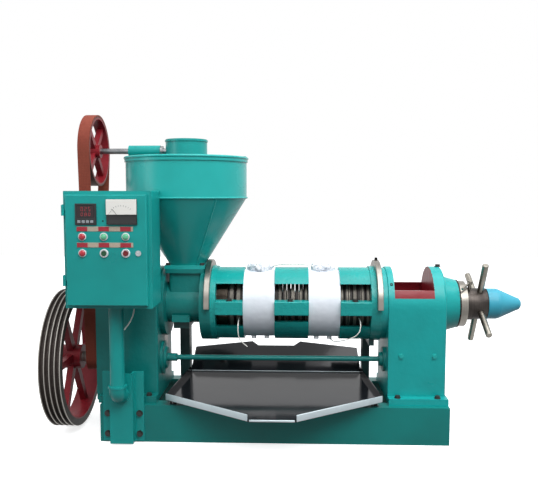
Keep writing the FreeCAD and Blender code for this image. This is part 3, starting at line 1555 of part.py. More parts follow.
# Control box: a folded case on a post, with a proud door on two pin hinges
box_right = s.box_width - s.box_left
box_x = (-s.box_left, box_right)
box_top = s.box_bottom + s.box_height
bracket_back = -frame_depth / 2
bracket_front = bracket_back - s.bracket_stand_off
post_y = bracket_front - s.elbow_bend - s.elbow_run
box_back = post_y + s.box_overhang
box_front = box_back - s.box_depth
case_y = (box_front, box_back)
case_outer = rounded(block(box_x, case_y, (s.box_bottom, box_top)), s.case_corner, edges_along("y"))
case_inner = block((box_x[0] + s.box_sheet, box_x[1] - s.box_sheet),
                   (box_front + s.box_sheet, box_back - s.box_sheet),
                   (s.box_bottom + s.box_sheet, box_top - s.box_sheet))
case_mouth = block((box_x[0] + s.case_rim, box_x[1] - s.case_rim), (box_front, box_front + s.box_sheet),
                   (s.box_bottom + s.case_rim, box_top - s.case_rim))
keep(cut(case_outer, case_inner, case_mouth), "control_box")

# Door: a folded pan with rounded front edges, pierced for the buttons and the lock
door_x = (box_x[0] + s.door_inset, box_x[1] - s.door_inset)
door_z = (s.box_bottom + s.door_inset, box_top - s.door_inset)
door_back = box_front - s.door_gap
door_front = door_back - s.door_depth
knuckle = s.knuckle_radius
hinge_x = box_x[0] + s.door_inset / 2 - knuckle / 2
hinge_y = door_front + knuckle + 2
pin_radius = knuckle / 2


def door_edge(edge):
    """Picks the edges of the door's front face."""
    return abs(edge.BoundBox.YMin - float(door_front)) < 0.01 and edge.BoundBox.YLength < 0.01


door_blank = rounded(block(door_x, (door_front, door_back), door_z), s.case_corner, door_edge)
door_hollow = block((door_x[0] + s.box_sheet, door_x[1] - s.box_sheet),
                    (door_front + s.box_sheet, door_back),
                    (door_z[0] + s.box_sheet, door_z[1] - s.box_sheet))
door_knuckles, door_holes, hinge_solids = [], [], []
door_knuckle_length = s.knuckle_length - s.seat_gap
leaf_sheet = s.box_sheet
for rise in (s.hinge_low, s.hinge_high):
    height = s.box_bottom + rise
    knuckle_z = (height + s.seat_gap, height + s.knuckle_length)
    door_knuckles.append(rod("z", knuckle, door_knuckle_length, hinge_x, hinge_y, knuckle_z[0]))
    door_knuckles.append(block((hinge_x, door_x[0] + knuckle), (hinge_y - 2, hinge_y + 2), knuckle_z))
    door_holes.append(rod("z", pin_radius + s.fit_gap, door_knuckle_length, hinge_x, hinge_y, knuckle_z[0]))
    leaf_z = (height - s.knuckle_length, height)
    hinge_solids.append(fused(
        rod("z", knuckle, s.knuckle_length, hinge_x, hinge_y, leaf_z[0]),
        rod("z", pin_radius, s.knuckle_length * 2 + 2, hinge_x, hinge_y, leaf_z[0]),
        block((box_x[0] - leaf_sheet, box_x[0]), (hinge_y, box_front + s.case_rim), leaf_z),
    ))
columns = [box_x[0] + s.lamp_left + step * s.lamp_pitch for step in range(3)]
high_row = s.box_bottom + s.lamp_rise
low_row = high_row - s.lamp_row_gap
lamp_spots = [(column, high_row) for column in columns] + [(columns[0], low_row)]
button_spots = [(columns[1], low_row), (columns[2], low_row)]
lock_x_place = box_x[0] + s.lock_left
through = s.box_sheet + 8
button_bore = s.button_radius + 2 * s.fit_gap
button_holes = [rod("y", button_bore, through, x, door_front - 4, z) for x, z in button_spots]
lock_hole = rod("y", s.lock_radius + s.fit_gap, through, lock_x_place, door_front - 4, low_row)
keep(cut(cut(fused(door_blank, *door_knuckles), door_hollow), *(door_holes + button_holes + [lock_hole])),
     "control_door")
group("door_hinges", hinge_solids)

# On the door: a controller, a meter with its proud window, lamps, button collars, buttons and a lock
controller_x = box_x[0] + s.controller_left
controller_z = s.box_bottom + s.controller_rise
keep(rounded(block((controller_x, controller_x + s.controller_size), (door_front - 4, door_front),
                   (controller_z, controller_z + s.controller_size)), 2, edges_along("y")),
     "temperature_controller")
meter_x = (box_x[0] + s.ammeter_left, box_x[0] + s.ammeter_left + s.ammeter_width)
meter_z = (s.box_bottom + s.ammeter_rise, s.box_bottom + s.ammeter_rise + s.ammeter_height)
keep(fused(
    rounded(block(meter_x, (door_front - 8, door_front), meter_z), 3, edges_along("y")),
    block((meter_x[0] + 6, meter_x[1] - 6), (door_front - 14, door_front - 8),
          (meter_z[0] + 30, meter_z[1] - 5)),
), "ammeter")
lamps = []
for x, z in lamp_spots:
    lamps.append(fused(
        rod("y", 13.5, 4, x, door_front - 4, z), rod("y", 10.5, 6, x, door_front - 10, z)))
for x, z in button_spots:
    lamps.append(cut(rod("y", 14.5, 5, x, door_front - 5, z),
                     rod("y", button_bore, 5, x, door_front - 5, z)))
group("door_lamps", lamps)


def push_button(label, spot):
    x, z = spot
    keep(fused(
        rod("y", s.button_radius, 26, x, door_front - 8, z),
        rod("y", s.button_radius + 3, 3, x, door_front + 13, z),
    ), label)


push_button("start_button", button_spots[0])
push_button("stop_button", button_spots[1])
keep(fused(
    rod("y", s.lock_radius, 24, lock_x_place, door_front - 2, low_row),
    rod("y", s.lock_radius + 2.5, 3, lock_x_place, door_front - 3 - s.seat_gap, low_row),
    block((lock_x_place - 8, lock_x_place + 8), (door_front + 19, door_front + 22),
          (low_row - 8, low_row + 8)),
), "door_lock")

# Post, elbow and the hat-shaped bracket that carries the control box
post_x = box_x[0] + s.post_inset
elbow_top = s.elbow_height
elbow_pipe = s.post_radius + s.elbow_wall
keep(rod("z", s.post_radius, s.box_bottom - elbow_top, post_x, post_y, elbow_top), "box_post")
elbow_centre = elbow_top - s.elbow_collar - s.elbow_bend
torus = doc.addObject("Part::Torus", "Bend")
bind(torus, Radius1=s.elbow_bend, Radius2=elbow_pipe)
torus.Angle3 = 90
place(torus, post_x, post_y + s.elbow_bend, elbow_centre + s.elbow_bend,
      Rotation(Vector(0, 1, 0), 90).multiply(Rotation(Vector(0, 0, 1), -90)))
keep(fused(
    torus,
    rod("z", elbow_pipe + 3, s.elbow_collar, post_x, post_y, elbow_top - s.elbow_collar),
    rod("y", elbow_pipe, bracket_front - post_y - s.elbow_bend, post_x, post_y + s.elbow_bend,
        elbow_centre),
), "post_elbow")
BRACKET_BOLT_SHARES = (0.24, 0.79)
bracket = body(post_x, bracket_back)
half, sheet_b, ear = s.bracket_width / 2, s.bracket_sheet, s.bracket_ear
off = -s.bracket_stand_off
hat = outline(
    drawing(bracket, "XY_Plane", 6),
    (-half - ear, -sheet_b), (-half, -sheet_b), (-half, off), (half, off), (half, -sheet_b),
    (half + ear, -sheet_b), (half + ear, 0), (half - sheet_b, 0), (half - sheet_b, off + sheet_b),
    (-half + sheet_b, off + sheet_b), (-half + sheet_b, 0), (-half - ear, 0),
)
pad(bracket, hat, s.bracket_top)
keep(bracket, "post_bracket")
for side in (-1, 1):
    for share in BRACKET_BOLT_SHARES:
        machine_bolts.append(bolt("y", post_x + side * (half + ear / 2), bracket_back - sheet_b,
                                  s.channel_height * share, -1))
group("machine_bolts", machine_bolts)


# Leads: straight runs joined by tangent arcs
def lead(label, points, diameter):
    points = [Vector(*point) for point in points]
    edges, here = [], points[0]
    radii = []
    for before, corner, after in zip(points, points[1:], points[2:]):
        first, second = before - corner, after - corner
        half_turn_angle = (math.pi - first.getAngle(second)) / 2
        reach = 0.45 * min(first.Length, second.Length)
        radii.append(round(reach / math.tan(half_turn_angle), 1))
        start = corner + first.normalize() * reach
        end = corner + second.normalize() * reach
        middle_way = (first + second).normalize()
        radius = reach / math.tan(half_turn_angle)
        middle = corner + middle_way * (radius / math.cos(half_turn_angle) - radius)
        edges.append(Part.LineSegment(here, start).toShape())
        edges.append(Part.Arc(start, middle, end).toShape())
        here = end
    edges.append(Part.LineSegment(here, points[-1]).toShape())
    path = Part.Wire(edges)
    section = Part.Wire([Part.makeCircle(diameter / 2, points[0], points[1] - points[0])])
    tube = path.makePipeShell([section], True, False)
    print(label, "length", round(path.Length, 1), "radii", radii,
          "volume share", round(tube.Volume / (math.pi * diameter ** 2 / 4 * path.Length), 3))
    shaped(label, tube)


LINK_LEAD = [
    (-36, 0, 637), (-15, 0, 637), (10, -15, 644), (40, -24, 649), (72, -27, 646),
    (102, -24, 649), (128, -13, 644), (147, 0, 637), (167, 0, 637),
]
PROBE_LEAD = [
    (-134, -95.2, 450), (-134, -128, 448), (-134.5, -147, 430), (-134.5, -149, 402),
    (-131, -143, 380), (-119, -137, 362), (-101, -133, 347),
]
SENSOR_LEAD = [
    (320, -96, 452), (321, -127, 450), (323, -146, 436), (320, -150, 412), (307, -147, 394),
    (288, -138, 382), (262, -118, 370), (240, -84, 358), (223, -46, 351), (214.5, -11.3, 356),
]
BOX_LEAD = [
    (-490, -285, 530), (-490, -285, 510), (-496, -285, 489), (-506, -285, 468), (-517, -285, 452),
    (-527, -285, 440),
]
lead("link_lead", LINK_LEAD, 5.0)
lead("box_lead", BOX_LEAD, 5.0)
lead("probe_lead", PROBE_LEAD, 4.0)
lead("sensor_lead", SENSOR_LEAD, 4.0)

# Check every object, then write one file for each piece
doc.recompute()
for thing in doc.Objects:
    if "Invalid" in thing.State or "Error" in thing.State:
        raise RuntimeError(f"{thing.Name} ({thing.Label}) did not compute: {thing.State}")
for label, piece in parts.items():
    if piece.Shape.isNull() or not piece.Shape.isValid():
        raise RuntimeError(f"{label} has no valid shape")
os.makedirs("parts", exist_ok=True)
for label, piece in parts.items():
    piece.Shape.exportStep(f"parts/{label}.step")
print(len(parts), "pieces written")
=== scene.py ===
"""Looks of the screw oil press: finishes for every machined, cast and folded piece, and the small
pieces of the control box, heater bands, hopper and wiring that the solids leave plain. Metres.
"""
import math

import bmesh
import bpy
from mathutils import Matrix, Vector


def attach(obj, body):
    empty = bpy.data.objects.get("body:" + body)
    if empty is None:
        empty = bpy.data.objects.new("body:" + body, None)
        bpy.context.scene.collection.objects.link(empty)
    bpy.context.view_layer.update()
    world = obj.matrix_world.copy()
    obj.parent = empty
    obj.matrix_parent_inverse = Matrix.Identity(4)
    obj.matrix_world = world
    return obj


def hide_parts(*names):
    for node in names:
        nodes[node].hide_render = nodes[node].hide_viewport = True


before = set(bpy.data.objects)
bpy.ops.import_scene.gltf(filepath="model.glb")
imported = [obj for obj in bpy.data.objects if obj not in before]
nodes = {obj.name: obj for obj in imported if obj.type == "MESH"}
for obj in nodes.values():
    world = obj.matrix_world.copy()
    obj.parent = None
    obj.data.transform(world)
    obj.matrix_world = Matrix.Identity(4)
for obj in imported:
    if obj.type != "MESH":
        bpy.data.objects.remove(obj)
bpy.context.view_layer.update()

# Viewpoint, floor and light
# The camera stands 2.6 m in front of the press and 0.92 m up, turned a little to the left and down.
# A white surround, a wide lamp overhead and softer ones in front stand in for a studio.
PHOTO_WIDTH = 538
FOCAL_PIXELS = 660.3
SENSOR_WIDTH = 36
EYE = Vector((0.0691, -2.5753, 0.9205))
TURN_LEFT = 0.036
LOOK_DOWN = 0.085
lens = bpy.data.cameras.new("photo_lens")
lens.sensor_width = SENSOR_WIDTH
lens.sensor_fit = "HORIZONTAL"
lens.lens = SENSOR_WIDTH * FOCAL_PIXELS / PHOTO_WIDTH
camera = bpy.data.objects.new("camera", lens)
camera.location = EYE
camera.rotation_euler = (math.pi / 2 - LOOK_DOWN, 0, TURN_LEFT)
bpy.context.scene.collection.objects.link(camera)
bpy.context.scene.camera = camera
bpy.context.scene.view_settings.view_transform = "Standard"


def colour(code):
    """An sRGB hex code as the linear colour that a shader takes, by the sRGB standard's formula."""
    shares = [int(code[place:place + 2], 16) / 255 for place in (1, 3, 5)]
    return [c / 12.92 if c <= 0.04045 else ((c + 0.055) / 1.055) ** 2.4 for c in shares] + [1]


def add_node(tree, kind, inputs=None, **settings):
    """Adds a shader node. An input is a number, a colour or another node's output."""
    made = tree.nodes.new("ShaderNode" + kind)
    for name, value in settings.items():
        setattr(made, name, value)
    for name, value in (inputs or {}).items():
        if isinstance(value, bpy.types.NodeSocket):
            tree.links.new(value, made.inputs[name])
        else:
            made.inputs[name].default_value = value
    return made


def blank_material(name):
    """A new material with nothing in it yet, and its node tree."""
    material = bpy.data.materials.new(name)
    material.use_nodes = True
    material.node_tree.nodes.clear()
    return material, material.node_tree


def finish_with(tree, shader):
    """Ends a material's tree in its shader."""
    output = add_node(tree, "OutputMaterial")
    tree.links.new(shader, output.inputs["Surface"])


def sent_on(tree, rays):
    """1 for rays that metal has mirrored or that something clear has let through, 0 for the rest."""
    either = add_node(tree, "Math", {
        0: rays.outputs["Is Glossy Ray"], 1: rays.outputs["Is Transmission Ray"]}, operation="MAXIMUM")
    return either.outputs[0]


# The floor is dull grey to the lamps, so that little light comes back up from it. The camera sees
# it white, with the press's shadow on it.
FLOOR_SIDE = 14
FLOOR_DROP = 0.0005
FLOOR_LIFT = 0.72
MIRRORED_WHITE = 0.8
WHITE = colour("#FFFFFF")
floor_paint, tree = blank_material("studio_floor")
rays = add_node(tree, "LightPath")
dull = add_node(tree, "BsdfDiffuse", {"Color": colour("#46484A")})
pale = add_node(tree, "BsdfDiffuse", {"Color": colour("#F4F4F4")})
lift = add_node(tree, "Emission", {"Color": WHITE, "Strength": FLOOR_LIFT})
seen_direct = add_node(tree, "AddShader", {0: pale.outputs[0], 1: lift.outputs[0]})
by_eye = add_node(tree, "MixShader", {
    0: rays.outputs["Is Camera Ray"], 1: dull.outputs[0], 2: seen_direct.outputs[0]})
glow = add_node(tree, "Emission", {"Color": WHITE, "Strength": MIRRORED_WHITE})
all_rays = add_node(tree, "MixShader", {0: sent_on(tree, rays), 1: by_eye.outputs[0], 2: glow.outputs[0]})
finish_with(tree, all_rays.outputs[0])
bpy.ops.object.select_all(action="DESELECT")
bpy.ops.mesh.primitive_plane_add(size=FLOOR_SIDE, location=(0, 0, -FLOOR_DROP))
floor = bpy.context.object
floor.name = "floor"
floor.data.materials.append(floor_paint)

# The surround is plain white to the camera and in metal. It fills the shadows with more light from
# the studio's ceiling than from its walls.
WALL_LEVEL, CEILING_LEVEL = 0.17, 1.15
world = bpy.data.worlds.new("studio_surround")
bpy.context.scene.world = world
world.use_nodes = True
tree = world.node_tree
tree.nodes.clear()
rays = add_node(tree, "LightPath")
shown = add_node(tree, "Math", {
    0: sent_on(tree, rays), 1: rays.outputs["Is Camera Ray"]}, operation="MAXIMUM")
way = add_node(tree, "SeparateXYZ", {0: add_node(tree, "TexCoord").outputs["Generated"]})
level = add_node(tree, "MapRange", {
    "Value": way.outputs["Z"], "To Min": WALL_LEVEL, "To Max": CEILING_LEVEL})
fill = add_node(tree, "Background", {"Color": colour("#F2F6FA"), "Strength": level.outputs[0]})
white = add_node(tree, "Background", {"Color": WHITE, "Strength": 1.0})
surround = add_node(tree, "MixShader", {0: shown.outputs[0], 1: fill.outputs[0], 2: white.outputs[0]})
output = add_node(tree, "OutputWorld")
tree.links.new(surround.outputs[0], output.inputs["Surface"])


def soft_lamp(name, place, aim, size, power):
    """A wide rectangular lamp at a place, turned to a point."""
    lamp = bpy.data.lights.new(name, "AREA")
    lamp.shape = "RECTANGLE"
    lamp.size, lamp.size_y = size
    lamp.energy = power
    hung = bpy.data.objects.new(name, lamp)
    hung.location = place
    hung.rotation_euler = (Vector(aim) - Vector(place)).to_track_quat("-Z", "Y").to_euler()
    bpy.context.scene.collection.objects.link(hung)


PRESS_MIDDLE = (0, 0, 0.6)
soft_lamp("overhead_lamp", place=(0.8, -0.8, 2.9), aim=(0, -0.1, 0.6), size=(3.4, 2.4), power=70)
soft_lamp("front_lamp", place=(1.0, -3.3, 3.5), aim=PRESS_MIDDLE, size=(3.2, 1.8), power=74)
soft_lamp("side_lamp", place=(-3.0, -1.4, 1.6), aim=PRESS_MIDDLE, size=(1.2, 1.6), power=14)

# Wiring
# Four thin leads in white silicone sleeve: one from the control box into its post, a link between
# the two heater bands, a temperature probe that hangs with its end bare, and a feed that comes out
# of the cage and back to a band.
THICK_LEAD, THIN_LEAD = 0.005, 0.004
BOX_ROUTE = [
    (-0.490, -0.285, 0.530), (-0.490, -0.285, 0.510), (-0.496, -0.285, 0.489),
    (-0.506, -0.285, 0.468), (-0.517, -0.285, 0.452), (-0.527, -0.285, 0.440),
]
LINK_ROUTE = [
    (-0.036, 0, 0.637), (-0.015, 0, 0.637), (0.010, -0.015, 0.644), (0.040, -0.024, 0.649),
    (0.072, -0.027, 0.646), (0.102, -0.024, 0.649), (0.128, -0.013, 0.644), (0.147, 0, 0.637),
    (0.167, 0, 0.637),
]
PROBE_ROUTE = [
    (-0.134, -0.0952, 0.450), (-0.134, -0.128, 0.448), (-0.1345, -0.147, 0.430),
    (-0.1345, -0.149, 0.402), (-0.131, -0.143, 0.380), (-0.119, -0.137, 0.362),
    (-0.101, -0.133, 0.347),
]
SENSOR_ROUTE = [
    (0.320, -0.096, 0.452), (0.321, -0.127, 0.450), (0.323, -0.146, 0.436), (0.320, -0.150, 0.412),
    (0.307, -0.147, 0.394), (0.288, -0.138, 0.382), (0.262, -0.118, 0.370), (0.240, -0.084, 0.358),
    (0.223, -0.046, 0.351), (0.2145, -0.0113, 0.356),
]
# Sockets of a Mix node when it mixes colours
FACTOR, FIRST, SECOND, MIXED = 0, 6, 7, 2

# Silicone sleeve: soft white rubber, satin rather than shiny, with a faint braid under it. The
# braid is drawn at 4 mm, coarser than the real one, so that it shows.
BRAID_PITCH = 0.004
sleeve_rubber, tree = blank_material("white_silicone_sleeve")
place = add_node(tree, "TexCoord").outputs["Object"]
braid = add_node(tree, "TexNoise", {"Vector": place, "Scale": 1 / BRAID_PITCH, "Detail": 3})
tint = add_node(tree, "Mix", {
    FACTOR: braid.outputs[0], FIRST: colour("#E4E2DA"), SECOND: colour("#F6F5F0")}, data_type="RGBA")
weave = add_node(tree, "Bump", {"Height": braid.outputs[0], "Strength": 0.25, "Distance": 0.0004})
skin = add_node(tree, "BsdfPrincipled", {
    "Base Color": tint.outputs[MIXED], "Roughness": 0.5, "Normal": weave.outputs[0]})
finish_with(tree, skin.outputs[0])


def run_lead(name, node, route, diameter):
    """A thin lead along a smooth line through the route's turns."""
    line = bpy.data.curves.new(name, "CURVE")
    line.dimensions = "3D"
    line.bevel_depth = diameter / 2
    line.bevel_resolution = 5
    line.resolution_u = 12
    line.use_fill_caps = True
    spline = line.splines.new("NURBS")
    spline.points.add(len(route) - 1)
    for point, place in zip(spline.points, route):
        point.co = (*place, 1)
    spline.order_u = 3
    spline.use_endpoint_u = True
    piece = bpy.data.objects.new(name, line)
    bpy.context.scene.collection.objects.link(piece)
    line.materials.append(sleeve_rubber)
    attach(piece, "root")
    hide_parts(node)


run_lead("box_to_post_lead", "box_lead", BOX_ROUTE, THICK_LEAD)
run_lead("band_link_lead", "link_lead", LINK_ROUTE, THICK_LEAD)
run_lead("hanging_probe_lead", "probe_lead", PROBE_ROUTE, THIN_LEAD)
run_lead("band_sensor_lead", "sensor_lead", SENSOR_ROUTE, THIN_LEAD)

# Base frame
# Two rolled channels with welded cross members. They are blasted, primed and sprayed with a
# two-pack enamel, which lies flat on rolled and folded steel.
TEAL_THIN = colour("#108884")
TEAL_FULL = colour("#1AA8A3")
CRIMSON_THIN = colour("#6A121B")
CRIMSON_FULL = colour("#93232D")
COAT_PATCH = 0.16667
COAT_DULLS = 0.12
PEEL_SPACING = 0.0035
PEEL_DEPTH = 0.0001
ENAMEL_GLOSS = 0.32


def within(tree, place, limits):
    """1 where every limit holds, else 0. A limit is an axis, GREATER_THAN or LESS_THAN, and a place."""
    parts = add_node(tree, "SeparateXYZ", {0: place})
    share = 1.0
    for axis, side, edge in limits:
        test = add_node(tree, "Math", {0: parts.outputs[axis], 1: edge}, operation=side)
        share = add_node(tree, "Math", {0: share, 1: test.outputs[0]}, operation="MULTIPLY").outputs[0]
    return share


def enamel(name, thin, full, wave, wave_depth, roughness, crimson_within=None):
    """Sprayed enamel. The coat's thickness shifts its colour, slow waves follow the metal under it,
    and the dimples of orange peel soften the edges of each highlight."""
    material, tree = blank_material(name)
    place = add_node(tree, "TexCoord").outputs["Object"]
    coat = add_node(tree, "TexNoise", {"Vector": place, "Scale": 1 / COAT_PATCH, "Detail": 4.0})
    tint = add_node(tree, "Mix", {FACTOR: coat.outputs[0], FIRST: thin, SECOND: full}, data_type="RGBA")
    if crimson_within:
        red = add_node(tree, "Mix", {
            FACTOR: coat.outputs[0], FIRST: CRIMSON_THIN, SECOND: CRIMSON_FULL}, data_type="RGBA")
        tint = add_node(tree, "Mix", {
            FACTOR: within(tree, place, crimson_within), FIRST: tint.outputs[MIXED],
            SECOND: red.outputs[MIXED]}, data_type="RGBA")
    slow = add_node(tree, "TexNoise", {"Vector": place, "Scale": 1 / wave, "Detail": 2.0})
    peel = add_node(tree, "TexNoise", {"Vector": place, "Scale": 1 / PEEL_SPACING, "Detail": 2.0})
    waves = add_node(tree, "Bump", {"Height": slow.outputs[0], "Distance": wave_depth})
    skin = add_node(tree, "Bump", {
        "Height": peel.outputs[0], "Distance": PEEL_DEPTH, "Normal": waves.outputs[0]})
    gloss = add_node(tree, "MapRange", {
        "Value": coat.outputs[0], "To Min": roughness, "To Max": roughness + COAT_DULLS})
    paint = add_node(tree, "BsdfPrincipled", {
        "Base Color": tint.outputs[MIXED], "Roughness": gloss.outputs[0], "Normal": skin.outputs[0],
        "Specular IOR Level": ENAMEL_GLOSS})
    finish_with(tree, paint.outputs[0])
    return material


def dress(names, material):
    """Gives CAD pieces their finish."""
    for name in names:
        slots = nodes[name].data.materials
        slots.clear()
        slots.append(material)


SHEET_WAVE, SHEET_WAVE_DEPTH = 0.12, 0.0012
sheet_enamel = enamel("teal_enamel_on_sheet", TEAL_THIN, TEAL_FULL,
                      wave=SHEET_WAVE, wave_depth=SHEET_WAVE_DEPTH, roughness=0.24)
# The channels take a darker copy of the teal: painted shade for the rails low under the press.
channel_enamel_painted_shade = enamel("teal_enamel_on_channels_painted_shade", colour("#0B6E6A"), colour("#138A84"),
                        wave=0.09, wave_depth=0.0012, roughness=0.26)
dress(["frame_front_rail", "frame_rear_rail", "frame_cross_members"], channel_enamel_painted_shade)

# Gearbox
# A grey-iron case with bolted covers, cast in sand, filled and sprayed teal. The filler and the
# sand skin under the enamel break its gloss into short waves. The tie bar below is sprayed with it.
# The castings take a darker copy of the teal: painted shade for the gearbox in the control box's shadow, the
# tie bar low down and the feed chamber under the hopper.
cast_enamel_painted_shade = enamel("teal_enamel_on_cast_iron_painted_shade", colour("#0B6A67"), colour("#148A85"),
                     wave=0.022, wave_depth=0.0012, roughness=0.28)
dress(["gearbox_housing", "gearbox_covers", "stay_rod"], cast_enamel_painted_shade)

# Shafts, gears and bearings
# Turned and ground carbon steel with gears cut on it, wet with gear oil. The tool leaves fine rings
# round each axis, which stretch the light into bands. They are drawn 1.2 mm apart, where a real
# lathe leaves them closer, so that they show.
DRIVE_AXIS = (-0.045, 0.2824)
PRESS_AXIS = (0.0, 0.494)
FEEDER_AXIS = (0.0, 1.085)
TOOL_FEED = 0.0012
STAIN_SIZE = 0.05
STAIN_FROM, STAIN_TO = 0.12, 0.4
DULLER_IN_STAINS, BRIGHTER_BETWEEN = 0.12, 0.05


def axis_distance(tree, axis):
    """The Object coordinates, and the distance from an axis that runs along X."""
    place = add_node(tree, "TexCoord").outputs["Object"]
    flat = add_node(tree, "VectorMath", {0: place, 1: (0, 1, 1)}, operation="MULTIPLY")
    reach = add_node(tree, "VectorMath", {0: flat.outputs[0], 1: (0, *axis)}, operation="DISTANCE")
    return place, reach.outputs["Value"]


def turned_metal(name, axis, dark, light, roughness, depth):
    """Lathe-turned metal: rings at the tool's feed, with stains and a duller film in patches."""
    material, tree = blank_material(name)
    place, reach = axis_distance(tree, axis)
    along = add_node(tree, "SeparateXYZ", {0: place})
    feed = add_node(tree, "Math", {0: along.outputs["X"], 1: reach}, operation="ADD")
    rings = add_node(tree, "TexNoise", {"W": feed.outputs[0], "Scale": 1 / TOOL_FEED, "Detail": 3.0},
                     noise_dimensions="1D")
    stain = add_node(tree, "TexNoise", {"Vector": place, "Scale": 1 / STAIN_SIZE, "Detail": 5.0})
    share = add_node(tree, "Math", {0: rings.outputs[0], 1: stain.outputs[0]}, operation="MULTIPLY")
    spread = add_node(tree, "MapRange", {
        "Value": share.outputs[0], "From Min": STAIN_FROM, "From Max": STAIN_TO})
    tint = add_node(tree, "Mix", {FACTOR: spread.outputs[0], FIRST: dark, SECOND: light}, data_type="RGBA")
    gloss = add_node(tree, "MapRange", {
        "Value": stain.outputs[0], "To Min": roughness + DULLER_IN_STAINS,
        "To Max": roughness - BRIGHTER_BETWEEN})
    groove = add_node(tree, "Bump", {"Height": rings.outputs[0], "Distance": depth, "Strength": 0.6})
    metal = add_node(tree, "BsdfPrincipled", {
        "Base Color": tint.outputs[MIXED], "Metallic": 1.0, "Roughness": gloss.outputs[0],
        "Normal": groove.outputs[0]})
    finish_with(tree, metal.outputs[0])
    return material


oiled_gear_steel = turned_metal("oiled_gear_steel", DRIVE_AXIS, colour("#6B6A66"), colour("#B9B7B0"),
                                roughness=0.28, depth=0.00005)
dress(["input_shaft", "layshaft", "layshaft_gear", "screw_gear", "gearbox_bearings"], oiled_gear_steel)

# Drive pulley
# A grey-iron wheel with four belt grooves. The rim is turned and left bare, so it has browned in
# the grooves and the belts keep its crests bright. The crests' pale colour is partly a painted
# highlight along their edges. The spokes and the inside are sprayed crimson.
RIM_INSIDE = 0.2385
CREST = 0.2632
EDGE_BLUR = 0.0008
SPRAY_PATCH = 0.07143
RUST_PATCH = 0.016667
SAND_GRAIN, SAND_DEPTH = 0.006, 0.0004
PAINT_ROUGHNESS, RIM_ROUGHNESS = 0.4, 0.5


def wheel_finish(name, axis, inside, crest, bare_dark, bare_light):
    """Crimson enamel out to the rim, browned iron on the rim and bright metal on its crests, whose pale
    colour is partly a painted highlight.
    """
    material, tree = blank_material(name)
    place, reach = axis_distance(tree, axis)
    coat = add_node(tree, "TexNoise", {"Vector": place, "Scale": 1 / SPRAY_PATCH, "Detail": 4.0})
    red = add_node(tree, "Mix", {
        FACTOR: coat.outputs[0], FIRST: CRIMSON_THIN, SECOND: CRIMSON_FULL}, data_type="RGBA")
    rust = add_node(tree, "TexNoise", {"Vector": place, "Scale": 1 / RUST_PATCH, "Detail": 6.0})
    iron = add_node(tree, "Mix", {
        FACTOR: rust.outputs[0], FIRST: bare_dark, SECOND: bare_light}, data_type="RGBA")
    on_rim = add_node(tree, "MapRange", {
        "Value": reach, "From Min": inside, "From Max": inside + EDGE_BLUR})
    on_crest = add_node(tree, "MapRange", {
        "Value": reach, "From Min": crest, "From Max": crest + EDGE_BLUR})
    rim = add_node(tree, "Mix", {
        FACTOR: on_crest.outputs[0], FIRST: iron.outputs[MIXED], SECOND: colour("#B0ACA6")},
        data_type="RGBA")
    tint = add_node(tree, "Mix", {
        FACTOR: on_rim.outputs[0], FIRST: red.outputs[MIXED], SECOND: rim.outputs[MIXED]},
        data_type="RGBA")
    sand = add_node(tree, "TexNoise", {"Vector": place, "Scale": 1 / SAND_GRAIN, "Detail": 3.0})
    grain = add_node(tree, "Bump", {"Height": sand.outputs[0], "Distance": SAND_DEPTH})
    gloss = add_node(tree, "MapRange", {
        "Value": on_rim.outputs[0], "To Min": PAINT_ROUGHNESS, "To Max": RIM_ROUGHNESS})
    bare = add_node(tree, "Math", {0: on_crest.outputs[0], 1: on_rim.outputs[0]}, operation="MULTIPLY")
    skin = add_node(tree, "BsdfPrincipled", {
        "Base Color": tint.outputs[MIXED], "Metallic": bare.outputs[0], "Roughness": gloss.outputs[0],
        "Specular IOR Level": 0.25, "Normal": grain.outputs[0]})
    finish_with(tree, skin.outputs[0])
    return material


dress(["drive_pulley"], wheel_finish("browned_wheel_iron", DRIVE_AXIS, RIM_INSIDE, CREST,
                                     colour("#2C2624"), colour("#534A46")))

# Flat belt and its pulleys
# The belt is rubberised cotton, woven in plies and skimmed with brown-red rubber, dusty where it
# runs. The upper wheel is iron with crimson inside. The small one on the drive shaft is bare.
# Real canvas has about 1 mm between threads. They are drawn 5.9 mm apart, so that they show.
WEAVE_PITCH = 0.005919
# At scale 1, a wave texture repeats after this length
PLAIN_WAVE_PITCH = math.pi / 10
DUST_PATCH = 0.11111
belt_rubber, tree = blank_material("rubberised_belt_canvas")
place = add_node(tree, "TexCoord").outputs["Object"]
dust = add_node(tree, "TexNoise", {"Vector": place, "Scale": 1 / DUST_PATCH, "Detail": 5.0})
canvas = add_node(tree, "Mix", {
    FACTOR: dust.outputs[0], FIRST: colour("#702B20"), SECOND: colour("#964E3D")}, data_type="RGBA")
warp, weft = [
    add_node(tree, "TexWave", {"Vector": place, "Scale": PLAIN_WAVE_PITCH / WEAVE_PITCH, "Distortion": 0.4},
             bands_direction=across)
    for across in ("X", "Z")]
threads = add_node(tree, "Math", {0: warp.outputs["Fac"], 1: weft.outputs["Fac"]}, operation="ADD")
weave = add_node(tree, "Bump", {"Height": threads.outputs[0], "Distance": 0.0003, "Strength": 0.7})
rubber = add_node(tree, "BsdfPrincipled", {
    "Base Color": canvas.outputs[MIXED], "Roughness": 0.75, "Specular IOR Level": 0.25,
    "Normal": weave.outputs[0]})
finish_with(tree, rubber.outputs[0])
dress(["flat_belt"], belt_rubber)
# This wheel's rim has no crests, so the place where they would start lies beyond it
FEEDER_RIM_INSIDE = 0.1285
BEYOND_FEEDER_RIM = 0.2
dress(["feeder_pulley"], wheel_finish("small_wheel_iron", FEEDER_AXIS, FEEDER_RIM_INSIDE,
                                      BEYOND_FEEDER_RIM, colour("#42221F"), colour("#6E3F38")))
dress(["small_belt_pulley"], oiled_gear_steel)

